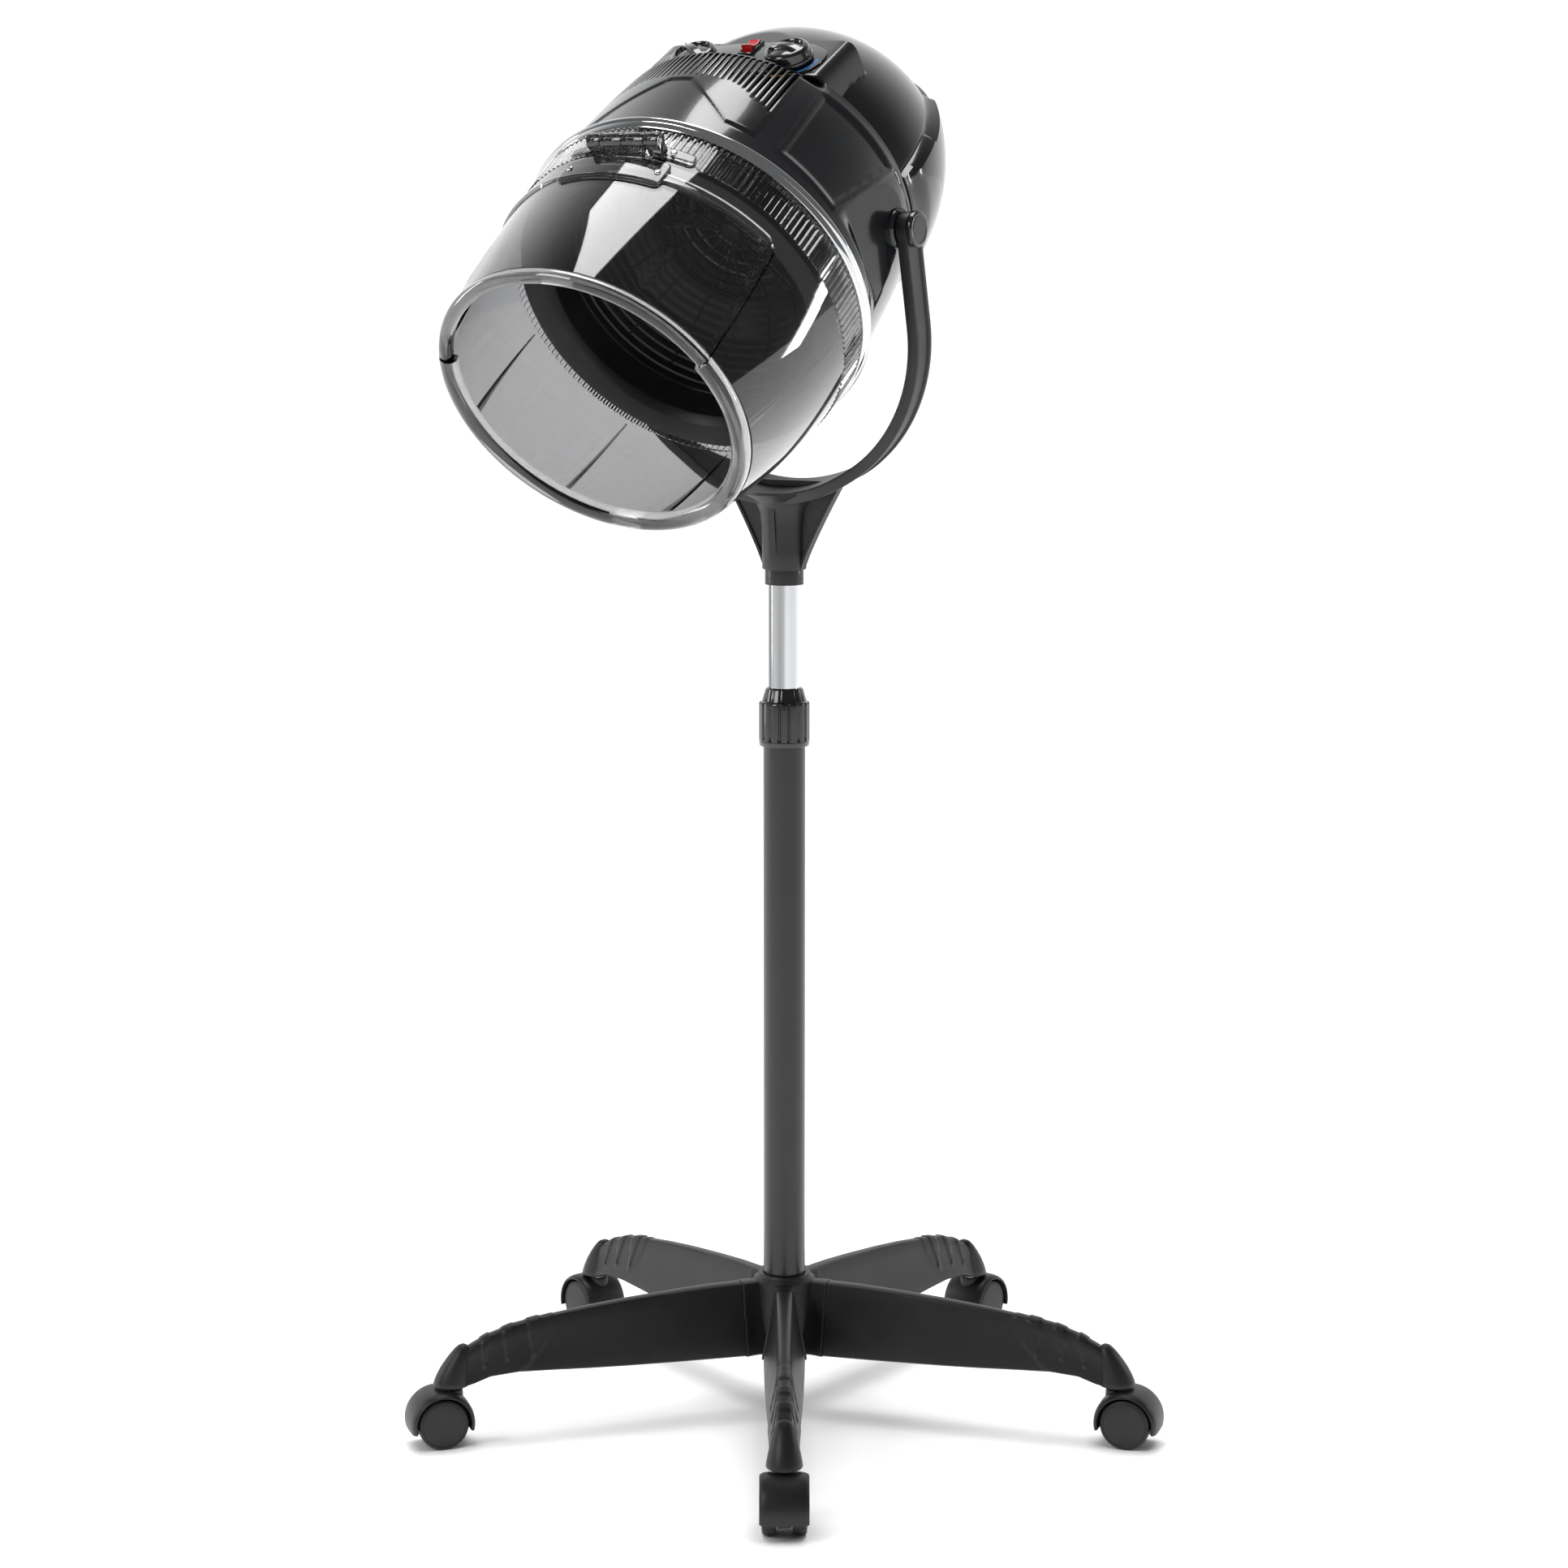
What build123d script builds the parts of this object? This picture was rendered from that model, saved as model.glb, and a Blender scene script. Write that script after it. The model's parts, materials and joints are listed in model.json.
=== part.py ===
from build123d import *
import math
import os

# Hood hair dryer on a rolling five-star stand. Millimetres, +Z up.
# The origin is the point on the floor under the column's axis.

# Hood attitude and pivots
SWING = 30.68            # turn of the hood about the column, from -Y towards -X
TILT = 35.12             # slope of the hood's axis below the horizontal
PIVOT_Z = 1138.8
PIVOT_REACH = 56.5       # how far the pivots stand in front of the column's axis
AXIS_LIFT = 19.9         # the hood's own axis above the pivots' axis

# Column
POLE_R = 20.0
POLE_WALL = 1.5
POLE_BOTTOM = 74.0
POLE_TOP = 690.0
CHROME_R = 15.0
CHROME_WALL = 1.5
CHROME_BOTTOM = 430.0
CHROME_TOP = 878.0
COLLAR_BOTTOM = 653.8
COLLAR_STEP = 696.3
COLLAR_TOP = 709.4
COLLAR_R = 24.0
RUN = 0.05               # radial clearance of a running fit
FIT = 0.02               # radial clearance of a fixed fit

# Base
ARM_COUNT = 5
FIRST_ARM = -90.0
HUB_R = 30.0
HUB_FACE = 45.0          # where the arms' shoulders meet the hub's stubs
HUB_BOTTOM = 61.7
HUB_TOP = 134.0
HUB_RING_TOP = 138.0
TONGUE = (14.0, 16.0, 44.0)
# Arm sections: radius, bottom height, top height, bottom width, top width
ARM_SECTIONS = (
    (45.0, 62.5, 131.5, 40.0, 16.0),
    (100.0, 62.5, 129.5, 38.0, 13.0),
    (160.0, 63.5, 125.5, 36.0, 11.0),
    (236.0, 66.0, 117.0, 31.0, 10.0),
    (285.0, 66.0, 105.5, 27.0, 10.0),
    (318.0, 58.0, 91.0, 25.0, 12.0),
)
STEM_RADIUS = 330.0      # the swivel axes' distance from the column
SOCKET_BOTTOM = 57.0
SOCKET_TOP = 90.0
STEM_R = 4.0

# Casters
WHEEL_R = 24.0
WHEEL_WIDTH = 13.5
WHEEL_GAP = 14.5
TRAIL = 13.0
AXLE_R = 3.0

# Yoke
YOKE_INNER = 157.0
YOKE_THICK = 11.0
YOKE_WIDTH = 28.0
SADDLE_Z = 895.0
SOCKET_R = 20.5
BUSH_R = 17.4
RING_BOTTOM = 807.6
RING_TOP = 822.0
BOLT_R = 4.0
CAP_R = 16.5
CAP_FACE = 174.0

# Hood, along its axis from the pivots' plane towards the mouth
SEAM = -38.0
SHELL_END = 112.7
RING_REAR = 101.8
BAND_END = 148.2
VISOR_START = 165.0
RIM = 303.0
DOME_CENTRE = -60.0
DOME_LENGTH = 174.0
DOME_R = 150.0
DOME_DROP = 30.0         # how far the flattened top of the dome is let down
WALL = 2.5
FLAT = 152.0             # half-width over the flats at the pivots
PANEL_HEIGHT = 118.8     # control panel plane above the hood's axis at the seam
PANEL_SLOPE = 0.12
PANEL_HALF = 100.0
PANEL_REAR = -107.0
SHIELD_R = 164.0
RIM_R = 146.0
RIM_LIFT = 12.0
RIM_TUBE = 8.5
SHIELD_WALL = 3.0
VISOR_EDGE = 22.0        # the visor's side edges, degrees up from the pivots' direction
BAND_TEETH = 168
RIM_SLOPE = 4.0          # the rim's plane leans, its top edge further out
HINGE_U = 12.0           # the hinge stands a little to the right of the hood's middle
HINGE_V = 173.8
HINGE_S = 146.0
BARREL_R = 7.5
PIN_R = 2.5
BASE_SCREWS = (-29.0, 53.0)
LEAF_SCREWS = (-36.0, 51.0)
BASE_SCREWS_S = 142.2
LEAF_SCREWS_S = 170.2
KNOB_S = -60.0
TIMER_U = -41.0
TEMPERATURE_U = 57.0
ROCKER_S = -91.0
KNOB_R = 20.0
KNOB_TALL = 18.0
SHAFT_R = 3.0
PLATE = 1.5              # control panel thickness
SWITCH_WIDE = 12.6
SWITCH_LONG = 22.4
ROCKER_THROW = 20.0
FAN_R = 58.0
MOTOR_R = 26.0
INLET_R = 4.5
INLET_V = -60.0
INLET_S = -226.0
INLET_LONG = 14.0

os.makedirs("parts", exist_ok=True)

swing = math.radians(SWING)
tilt = math.radians(TILT)
FORWARD = Vector(-math.sin(swing), -math.cos(swing), 0)
ACROSS = Vector(math.cos(swing), -math.sin(swing), 0)
AXIS = FORWARD * math.cos(tilt) - Vector(0, 0, 1) * math.sin(tilt)
LIFT = AXIS.cross(ACROSS)
PIVOT = FORWARD * PIVOT_REACH + Vector(0, 0, PIVOT_Z)
HOOD = Plane(origin=PIVOT + LIFT * AXIS_LIFT, x_dir=ACROSS, z_dir=AXIS)
LEAN = (PIVOT - Vector(0, 0, SADDLE_Z)).normalized()
YOKE = Plane(origin=PIVOT, x_dir=ACROSS, z_dir=ACROSS.cross(LEAN))


def save(name, shape):
    export_step(shape, f"parts/{name}.step")


def group(solids):
    return Compound(children=list(solids))


def rod(radius, low, high, x=0.0, y=0.0):
    return Pos(x, y, low) * Cylinder(radius, high - low, align=(Align.CENTER, Align.CENTER, Align.MIN))


def cross_rod(radius, low, high, y=0.0, z=0.0):
    """A round bar along X, from low to high."""
    bar = Cylinder(radius, high - low, align=(Align.CENTER, Align.CENTER, Align.MIN))
    return Pos(low, y, z) * Rot(0, 90, 0) * bar


def cone(low_r, high_r, low, high):
    return Pos(0, 0, low) * Cone(low_r, high_r, high - low, align=(Align.CENTER, Align.CENTER, Align.MIN))


def block(x0, x1, y0, y1, z0, z1):
    return Pos((x0 + x1) / 2, (y0 + y1) / 2, (z0 + z1) / 2) * Box(x1 - x0, y1 - y0, z1 - z0)


def turned(points, start=0.0, arc=360.0):
    """Turn a closed outline of (radius, height) points about Z, from a start angle."""
    face = make_face(Polyline(*[(r, 0, z) for r, z in points], close=True))
    return Rot(0, 0, start) * revolve(face, Axis.Z, arc)


def wedge(start, end, low, high, radius=260.0):
    """A pie slice about Z between two angles and two heights."""
    mid = math.radians((start + end) / 2)
    half = math.radians((end - start) / 2)
    far = radius / math.cos(half / 2)
    corners = [(0, 0)]
    for step in (-1.0, -0.5, 0.0, 0.5, 1.0):
        turn = mid + half * step
        corners.append((far * math.cos(turn), far * math.sin(turn)))
    sketch = make_face(Polyline(*corners, close=True))
    return extrude(Pos(0, 0, low) * sketch, high - low)


def spaced(count, start=0.0):
    return [start + 360.0 * i / count for i in range(count)]


# ---------------------------------------------------------------- base


def base_hub():
    body = rod(HUB_R, HUB_BOTTOM, HUB_TOP) + rod(HUB_R - 4, HUB_TOP, HUB_RING_TOP)
    pockets = []
    for angle in spaced(ARM_COUNT, FIRST_ARM):
        low = ARM_SECTIONS[0][1]
        high = ARM_SECTIONS[0][2]
        section = [(-20, low), (20, low), (8, high), (-8, high)]
        face = make_face(Plane.YZ * Polyline(*section, close=True))
        body += Rot(0, 0, angle) * extrude(face, HUB_FACE)
        depth, width, height = TONGUE
        mid = (low + high) / 2
        slot = block(HUB_FACE - depth - 0.3, HUB_FACE + 1, -width / 2 - 0.2, width / 2 + 0.2,
                     mid - height / 2 - 0.2, mid + height / 2 + 0.2)
        pockets.append(Rot(0, 0, angle) * slot)
    body -= rod(POLE_R + 0.1, POLE_BOTTOM, HUB_RING_TOP + 1)
    body -= rod(5.3, HUB_BOTTOM - 1, POLE_BOTTOM + 1)
    for slot in pockets:
        body -= slot
    return body


def base_arm():
    sections = []
    for radius, low, high, wide, narrow in ARM_SECTIONS:
        ridge = high - 0.25 * (high - low)
        outline = [(-wide / 2, low), (wide / 2, low), (wide * 0.46, ridge - 8), (narrow / 2, high),
                   (-narrow / 2, high), (-wide * 0.46, ridge - 8)]
        sections.append(Pos(radius, 0, 0) * make_face(Plane.YZ * Polyline(*outline, close=True)))
    body = loft(sections, ruled=True)
    depth, width, height = TONGUE
    mid = (ARM_SECTIONS[0][1] + ARM_SECTIONS[0][2]) / 2
    body += block(HUB_FACE - depth, HUB_FACE + 2, -width / 2, width / 2, mid - height / 2, mid + height / 2)
    tip = Pos(STEM_RADIUS, 0, 0) * cone(17.0, 11.0, SOCKET_BOTTOM, SOCKET_TOP)
    body += tip
    body -= rod(STEM_R, SOCKET_BOTTOM - 10, SOCKET_TOP - 6, STEM_RADIUS)
    return body


def caster_stem():
    stem = rod(STEM_R, 32.0, SOCKET_TOP - 6, STEM_RADIUS)
    return stem + rod(7.0, SOCKET_BOTTOM - 3.0, SOCKET_BOTTOM, STEM_RADIUS)


def caster_housing():
    """A fender over the twin wheels and the web between them."""
    centre = STEM_RADIUS + TRAIL
    half = WHEEL_GAP / 2 + WHEEL_WIDTH + 0.7
    bar = Rot(90, 0, 0)
    fender = Pos(centre, 0, WHEEL_R) * bar * Cylinder(WHEEL_R + 6.5, 2 * half)
    fender -= Pos(centre, 0, WHEEL_R) * bar * Cylinder(WHEEL_R + 2.0, 2 * half + 2)
    fender -= block(centre - 40, centre + 40, -half - 1, half + 1, -20, WHEEL_R + 6)
    web = Pos(centre, 0, WHEEL_R) * bar * Cylinder(WHEEL_R + 3.0, WHEEL_GAP - 2.0)
    web -= block(centre - 40, centre + 40, -10, 10, -20, WHEEL_R - 10)
    post = rod(WHEEL_GAP / 2 - 1.0, WHEEL_R, WHEEL_R + 6, STEM_RADIUS)
    collar = rod(11.0, WHEEL_R + 24, SOCKET_BOTTOM - 3.2, STEM_RADIUS)
    collar -= Pos(centre, 0, WHEEL_R) * bar * Cylinder(WHEEL_R + 1.5, 2 * half)
    body = fender + web + post + collar
    body -= rod(STEM_R + RUN, 30.0, SOCKET_BOTTOM, STEM_RADIUS)
    body -= Pos(centre, 0, WHEEL_R) * bar * Cylinder(AXLE_R, 2 * half)
    return body


def caster_axle():
    length = WHEEL_GAP + 2 * WHEEL_WIDTH - 3.0
    return Pos(STEM_RADIUS + TRAIL, 0, WHEEL_R) * Rot(90, 0, 0) * Cylinder(AXLE_R, length)


def caster_wheel(side):
    """A tread rim and a domed outer disc on a hub bore that is blind at the outside."""
    inner = WHEEL_GAP / 2
    outline = [(AXLE_R + RUN, 0), (7, 0), (7, 2), (WHEEL_R - 3, 2), (WHEEL_R - 3, 0), (WHEEL_R - 0.8, 0),
               (WHEEL_R, 0.8), (WHEEL_R, WHEEL_WIDTH - 2.5), (WHEEL_R - 2.5, WHEEL_WIDTH - 0.6),
               (WHEEL_R - 8, WHEEL_WIDTH), (0, WHEEL_WIDTH), (0, WHEEL_WIDTH - 1.2),
               (AXLE_R + RUN, WHEEL_WIDTH - 1.2)]
    wheel = turned(outline)
    return Pos(STEM_RADIUS + TRAIL, side * inner, WHEEL_R) * Rot(-90 * side, 0, 0) * wheel


# ---------------------------------------------------------------- column


def lower_tube():
    tube = rod(POLE_R, POLE_BOTTOM, POLE_TOP) - rod(POLE_R - POLE_WALL, POLE_BOTTOM + 5, POLE_TOP + 1)
    return tube - rod(5.0, POLE_BOTTOM - 1, POLE_BOTTOM + 6)


def base_bolt():
    head = extrude(Pos(0, 0, HUB_BOTTOM - 6.5) * RegularPolygon(8.5, 6), 6.5)
    return head + rod(5.0, HUB_BOTTOM - 0.1, POLE_BOTTOM + 22)


def collet():
    inner = CHROME_R + RUN
    outline = [(inner, 640), (POLE_R - POLE_WALL - 0.1, 640), (POLE_R - POLE_WALL - 0.1, POLE_TOP),
               (POLE_R - 0.4, POLE_TOP), (POLE_R - 0.4, POLE_TOP + 3), (17.3, POLE_TOP + 3),
               (16.2, POLE_TOP + 10), (inner, POLE_TOP + 10)]
    ring = turned(outline)
    for angle in spaced(4, 45):
        ring -= Rot(0, 0, angle) * block(10, 22, -1, 1, POLE_TOP + 3.5, COLLAR_TOP)
    return ring


def height_collar():
    outline = [(POLE_R + RUN, COLLAR_BOTTOM), (COLLAR_R - 1, COLLAR_BOTTOM), (COLLAR_R, COLLAR_BOTTOM + 1),
               (COLLAR_R, COLLAR_STEP - 1), (COLLAR_R - 1, COLLAR_STEP), (21.0, COLLAR_STEP),
               (17.6, COLLAR_TOP), (CHROME_R + 0.4, COLLAR_TOP), (CHROME_R + 0.4, COLLAR_TOP - 3),
               (17.8, POLE_TOP + 4), (POLE_R + RUN, POLE_TOP + 4)]
    ring = turned(outline)
    for angle in spaced(16):
        groove = rod(1.6, COLLAR_BOTTOM + 6, COLLAR_STEP + 1, COLLAR_R + 0.7)
        ring -= Rot(0, 0, angle) * groove
    return ring


def upper_tube():
    return rod(CHROME_R, CHROME_BOTTOM, CHROME_TOP) - rod(CHROME_R - CHROME_WALL, CHROME_BOTTOM - 1, CHROME_TOP + 1)


def guide_bush():
    outer = POLE_R - POLE_WALL - RUN
    ring = turned([(CHROME_R + FIT, CHROME_BOTTOM), (outer, CHROME_BOTTOM), (outer, CHROME_BOTTOM + 12),
                   (outer - 1.5, CHROME_BOTTOM + 14), (outer - 1.5, CHROME_BOTTOM + 26),
                   (outer, CHROME_BOTTOM + 28), (outer, CHROME_BOTTOM + 40),
                   (CHROME_R + FIT, CHROME_BOTTOM + 40)])
    return ring


def yoke_bush():
    inner = CHROME_R + FIT
    return turned([(inner, RING_BOTTOM), (18.3, RING_BOTTOM), (18.3, RING_TOP - 0.1), (BUSH_R, RING_TOP - 0.1),
                   (BUSH_R, CHROME_TOP), (inner, CHROME_TOP)])


# ---------------------------------------------------------------- yoke


def yoke_band(inner, outer, half_width):
    """The U between two radii: straight arms from the pivots down to a half circle."""
    drop = (PIVOT - Vector(0, 0, SADDLE_Z)).length - (YOKE_INNER + YOKE_THICK / 2)
    solid = Pos(0, -drop, -half_width) * Cylinder(outer, 2 * half_width, align=(Align.CENTER, Align.CENTER, Align.MIN))
    solid += block(-outer, outer, -drop, 0, -half_width, half_width)
    hollow = Pos(0, -drop, 0) * Cylinder(inner, 4 * half_width)
    hollow += block(-inner, inner, -drop, 30, -2 * half_width, 2 * half_width)
    solid -= block(-outer - 1, outer + 1, 0, outer, -2 * half_width, 2 * half_width)
    return solid - hollow


def yoke():
    outer = YOKE_INNER + YOKE_THICK
    arms = yoke_band(YOKE_INNER, outer, YOKE_WIDTH / 2)
    for side in (-1, 1):
        low, high = sorted((side * YOKE_INNER, side * outer))
        arms += cross_rod(YOKE_WIDTH / 2 + 1.5, low, high)
    # The bottom of the U widens into a saddle over the column.
    spread = make_face(Polyline((-105, -14), (-50, -27), (50, -27), (105, -14),
                                (105, 14), (50, 27), (-50, 27), (-105, 14), close=True))
    reach = -(PIVOT - Vector(0, 0, SADDLE_Z)).length
    shadow = extrude(Plane(origin=(0, reach - 30, 0), x_dir=(1, 0, 0), z_dir=(0, 1, 0)) * spread, 90)
    arms += yoke_band(YOKE_INNER, outer, 27) & shadow
    for side in (-1, 1):
        low, high = sorted((side * (YOKE_INNER - 1), side * (outer + 1)))
        arms -= cross_rod(BOLT_R + FIT, low, high)
    body = YOKE * arms
    # Socket over the column, with a gusset each side and one behind.
    across = Plane(origin=(0, 0, 0), x_dir=ACROSS, z_dir=(0, 0, 1))
    post = rod(SOCKET_R, RING_TOP, SADDLE_Z - 4)
    web = make_face(Plane.XZ * Polyline((-20, RING_TOP), (20, RING_TOP), (62, SADDLE_Z + 10), (40, SADDLE_Z + 2),
                                        (0, SADDLE_Z - 3), (-40, SADDLE_Z + 2), (-62, SADDLE_Z + 10), close=True))
    gusset = Pos(0, 4, 0) * extrude(web, 8)
    rear = make_face(Plane.YZ * Polyline((-25, SADDLE_Z + 2), (-18, RING_TOP + 8), (18, RING_TOP + 8),
                                         (28, SADDLE_Z - 6), close=True))
    gusset += Pos(-4, 0, 0) * extrude(rear, 8)
    body += post + across * gusset
    body -= rod(BUSH_R + RUN, RING_TOP - 1, CHROME_TOP + 1)
    return body


def pivot_bolts():
    solids = []
    for side in (-1, 1):
        low, high = sorted((side * 140.0, side * (YOKE_INNER + YOKE_THICK)))
        solids.append(YOKE * cross_rod(BOLT_R, low, high))
    return group(solids)


def pivot_caps():
    solids = []
    for side in (-1, 1):
        cap = turned([(0, 0), (CAP_R, 0), (CAP_R, 4.5), (CAP_R - 1.5, 6), (0, 6)])
        solids.append(YOKE * Pos(side * (CAP_FACE - 6), 0, 0) * Rot(0, 90 * side, 0) * cap)
    return group(solids)


# ---------------------------------------------------------------- hood


def shell_outline(inset):
    return [(148.5 - inset, SEAM), (153.0 - inset, -10), (158.0 - inset, 40), (163.3 - inset, RING_REAR - 2)]


def ellipsoid(inset, drop):
    length = DOME_LENGTH - inset
    radius = DOME_R - inset
    arc = []
    for i in range(25):
        turn = math.radians(90.0 * i / 24)
        arc.append((radius * math.sin(turn), -length * math.cos(turn)))
    curve = Spline(*[(r, 0, z) for r, z in arc])
    edges = [curve, Line((radius, 0, 0), (radius, 0, 60)), Line((radius, 0, 60), (0, 0, 60)),
             Line((0, 0, 60), (0, 0, -length))]
    return Pos(0, -drop, DOME_CENTRE) * revolve(make_face(edges), Axis.Z)


def dome(inset):
    """The dome: round below, let down above, with the flat seat of the control panel."""
    low = ellipsoid(inset, 0)
    top = PANEL_HEIGHT - inset
    rear = top - PANEL_SLOPE * (SEAM - PANEL_REAR)
    profile = make_face(Plane.YZ * Polyline((0, SEAM + 1), (top, SEAM + 1), (rear, PANEL_REAR), (0, PANEL_REAR),
                                            close=True))
    platform = extrude(profile, PANEL_HALF - inset, both=True)
    above = make_face(Plane.YZ * Polyline((top, SEAM + 1), (200, SEAM + 1), (200, PANEL_REAR), (rear, PANEL_REAR),
                                          close=True))
    let_down = (low & ellipsoid(inset, DOME_DROP)) - extrude(above, 200, both=True)
    solid = let_down + (low & platform)
    return solid & block(-200, 200, -200, 200, -300, SEAM)


def pivot_boss(side):
    low, high = sorted((side * 138.0, side * (YOKE_INNER - 0.5)))
    return cross_rod(19.0, low, high, -AXIS_LIFT)


def hood_shell():
    outer = shell_outline(0)
    points = [(0, SEAM)] + outer + [(163.0, SHELL_END), (0, SHELL_END)]
    body = turned(points)
    inner = shell_outline(WALL)
    points = [(0, SEAM + WALL), (inner[0][0], SEAM + WALL)] + inner[1:] + [(160.5, SHELL_END + 1), (0, SHELL_END + 1)]
    hollow = turned(points)
    # Flats where the yoke's arms pass.
    for side in (-1, 1):
        low, high = sorted((side * FLAT, side * 200.0))
        body -= block(low, high, -90, 60, -60, 75)
        low, high = sorted((side * (FLAT - WALL), side * 200.0))
        hollow -= block(low, high, -90 - WALL, 60 + WALL, -60, 75 + WALL)
    body -= hollow
    for side in (-1, 1):
        body += pivot_boss(side)
    body -= Pos(0, 0, WALL + 1) * dome(WALL + 0.5)
    for side in (-1, 1):
        low, high = sorted((side * 139.8, side * 160.0))
        body -= cross_rod(BOLT_R + RUN, low, high, -AXIS_LIFT)
    cuts = []
    for i in range(31):
        angle = 56.25 + 2.25 * i
        reach = 18.0 + 26.0 * max(0.0, (abs(angle - 90.0) - 15.0) / 20.0) ** 1.5
        cuts.append(Rot(0, 0, angle) * block(140, 170, -1.1, 1.1, SEAM + 5, reach))
    return body - cuts


def rear_cover():
    body = dome(0) - dome(WALL)
    # Holes for the two controls' shafts and for the rocker.
    seat = panel_plane()
    for across in (TIMER_U, TEMPERATURE_U):
        body -= seat * Pos(across, panel_along(KNOB_S), -8) * Cylinder(5.0, 30)
    body -= seat * Pos(0, panel_along(ROCKER_S), 0) * Box(SWITCH_WIDE + 0.4, SWITCH_LONG + 0.4, 30)
    # Cord inlet low on the back, in a short boss.
    body += rod(INLET_R + 4, INLET_S, INLET_S + INLET_LONG, 0, INLET_V)
    return body - rod(INLET_R, INLET_S - 10, INLET_S + 30, 0, INLET_V)


def panel_plane():
    """The control panel's plane: X across the hood, Y along it to the rear, Z outwards."""
    slope = math.atan(PANEL_SLOPE)
    return Plane(origin=(0, PANEL_HEIGHT, SEAM), x_dir=(1, 0, 0), z_dir=(0, math.cos(slope), -math.sin(slope)))


def panel_along(height):
    return (SEAM - height) / math.cos(math.atan(PANEL_SLOPE))


def trim_ring():
    return turned([(163.3, RING_REAR), (169.7, RING_REAR), (169.7, RING_REAR + 2), (166.7, SHELL_END),
                   (163.3, SHELL_END)])


def ribbed_band():
    """The clear skirt behind the visor, with flutes along the hood's axis."""
    crown = 165.0
    root = 163.6
    points = []
    pitch = 360.0 / BAND_TEETH
    for i in range(BAND_TEETH):
        for share, radius in ((0.0, crown), (0.55, crown), (0.62, root), (0.93, root)):
            turn = math.radians(pitch * (i + share))
            points.append((radius * math.cos(turn), radius * math.sin(turn)))
    teeth = Pos(0, 0, SHELL_END + 0.4) * extrude(make_face(Polyline(*points, close=True)), BAND_END - SHELL_END - 0.4)
    teeth -= rod(161.0, SHELL_END + 4, BAND_END + 1)
    teeth -= rod(157.2, SHELL_END - 1, BAND_END + 1)
    flange = rod(160.2, RING_REAR + 2, SHELL_END + 4) - rod(157.2, RING_REAR + 1, SHELL_END + 5)
    return teeth + flange


def rim_frame():
    return Pos(0, RIM_LIFT, RIM) * Rot(RIM_SLOPE, 0, 0)


def skirt_cone(inset):
    low = Pos(0, 0, BAND_END) * Circle(SHIELD_R - inset)
    high = rim_frame() * Circle(RIM_R - inset)
    return loft([low, high])


def whole_skirt():
    """Shield and visor in one: the tapering clear wall and the round tube along its rim."""
    wall = skirt_cone(0) - skirt_cone(SHIELD_WALL)
    # The tube's own seam is turned into the visor, away from the wall's seam.
    tube = rim_frame() * Pos(0, 0, -1) * Rot(0, 0, -90) * Torus(RIM_R - RIM_TUBE + 1.5, RIM_TUBE)
    return wall + tube


def shield():
    body = whole_skirt()
    body -= wedge(VISOR_EDGE, 180 - VISOR_EDGE, VISOR_START, RIM + 60)
    body += ribbed_band()
    # Moulded ribs that stiffen the lower half.
    for angle in (-90, -127, -53, -170, -10):
        start = (157.5, BAND_END + 8)
        end_r = RIM_R - 9 + RIM_LIFT * math.sin(math.radians(angle))
        end_s = RIM - 12 + 10 * math.sin(math.radians(angle))
        outline = [start, (162.0, BAND_END + 6), (end_r + 7.5, end_s), (end_r + 2.5, end_s)]
        rib = make_face(Plane.XZ * Polyline(*outline, close=True))
        rib = Pos(0, 1, 0) * extrude(rib, 2)
        body += Rot(0, 0, angle) * rib & skirt_cone(0.5)
    for across in BASE_SCREWS:
        body -= screw_axis(across, BASE_SCREWS_S) * Cylinder(1.55, 30)
    return body


def visor():
    gap = 0.4
    body = whole_skirt() & wedge(VISOR_EDGE + gap, 180 - VISOR_EDGE - gap, VISOR_START + 1, RIM + 60)
    for across in LEAF_SCREWS:
        body -= screw_axis(across, LEAF_SCREWS_S) * Cylinder(1.55, 30)
    return body


def hinge_base():
    """Two pads screwed to the band, each with a knuckle, and the strip that joins them."""
    rear = SHELL_END + 0.6
    strip = turned([(165.3, rear), (168.0, rear), (168.0, rear + 2.2), (165.3, rear + 2.2)], 73, 26)
    ears = turned([(165.3, rear), (167.5, rear), (167.5, BAND_END), (165.3, BAND_END)], 64, 44)
    ears -= block(HINGE_U - 23, HINGE_U + 23, 100, 200, rear - 1, BAND_END + 1)
    body = strip + ears
    band = rod(165.3, rear, BAND_END + 10)
    for low, high in ((HINGE_U - 36, HINGE_U - 22.5), (HINGE_U + 22.5, HINGE_U + 36)):
        body += block(low, high, 150.0, HINGE_V, HINGE_S - 5, HINGE_S + 5) - band
        body += cross_rod(BARREL_R, low, high, HINGE_V, HINGE_S) - band
    body -= cross_rod(PIN_R + FIT, HINGE_U - 40, HINGE_U + 40, HINGE_V, HINGE_S)
    for across in BASE_SCREWS:
        body -= screw_axis(across, BASE_SCREWS_S) * Cylinder(1.6, 30)
    return body


def screw_axis(across, along):
    """A line through the skirt, square to the hood's axis."""
    turn = math.degrees(math.acos(across / 165.0))
    return Pos(0, 0, along) * Rot(0, 0, turn) * Pos(165, 0, 0) * Rot(0, 90, 0)


def hinge_leaf():
    tab = BAND_END + 7
    plate = turned([(164.4, tab), (167.0, tab), (166.0, tab + 31), (163.7, tab + 31)], 69, 37)
    arm = block(HINGE_U - 21.5, HINGE_U + 21.5, 150.0, HINGE_V - 1, HINGE_S, tab + 3)
    body = plate + (arm - rod(165.4, HINGE_S - 10, tab + 5))
    body += cross_rod(BARREL_R, HINGE_U - 22, HINGE_U + 22, HINGE_V, HINGE_S)
    body -= rod(166.0, HINGE_S - 12, BAND_END + 1)
    body -= cross_rod(PIN_R + RUN, HINGE_U - 30, HINGE_U + 30, HINGE_V, HINGE_S)
    for across in LEAF_SCREWS:
        body -= screw_axis(across, LEAF_SCREWS_S) * Cylinder(1.6, 30)
    return body


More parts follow.
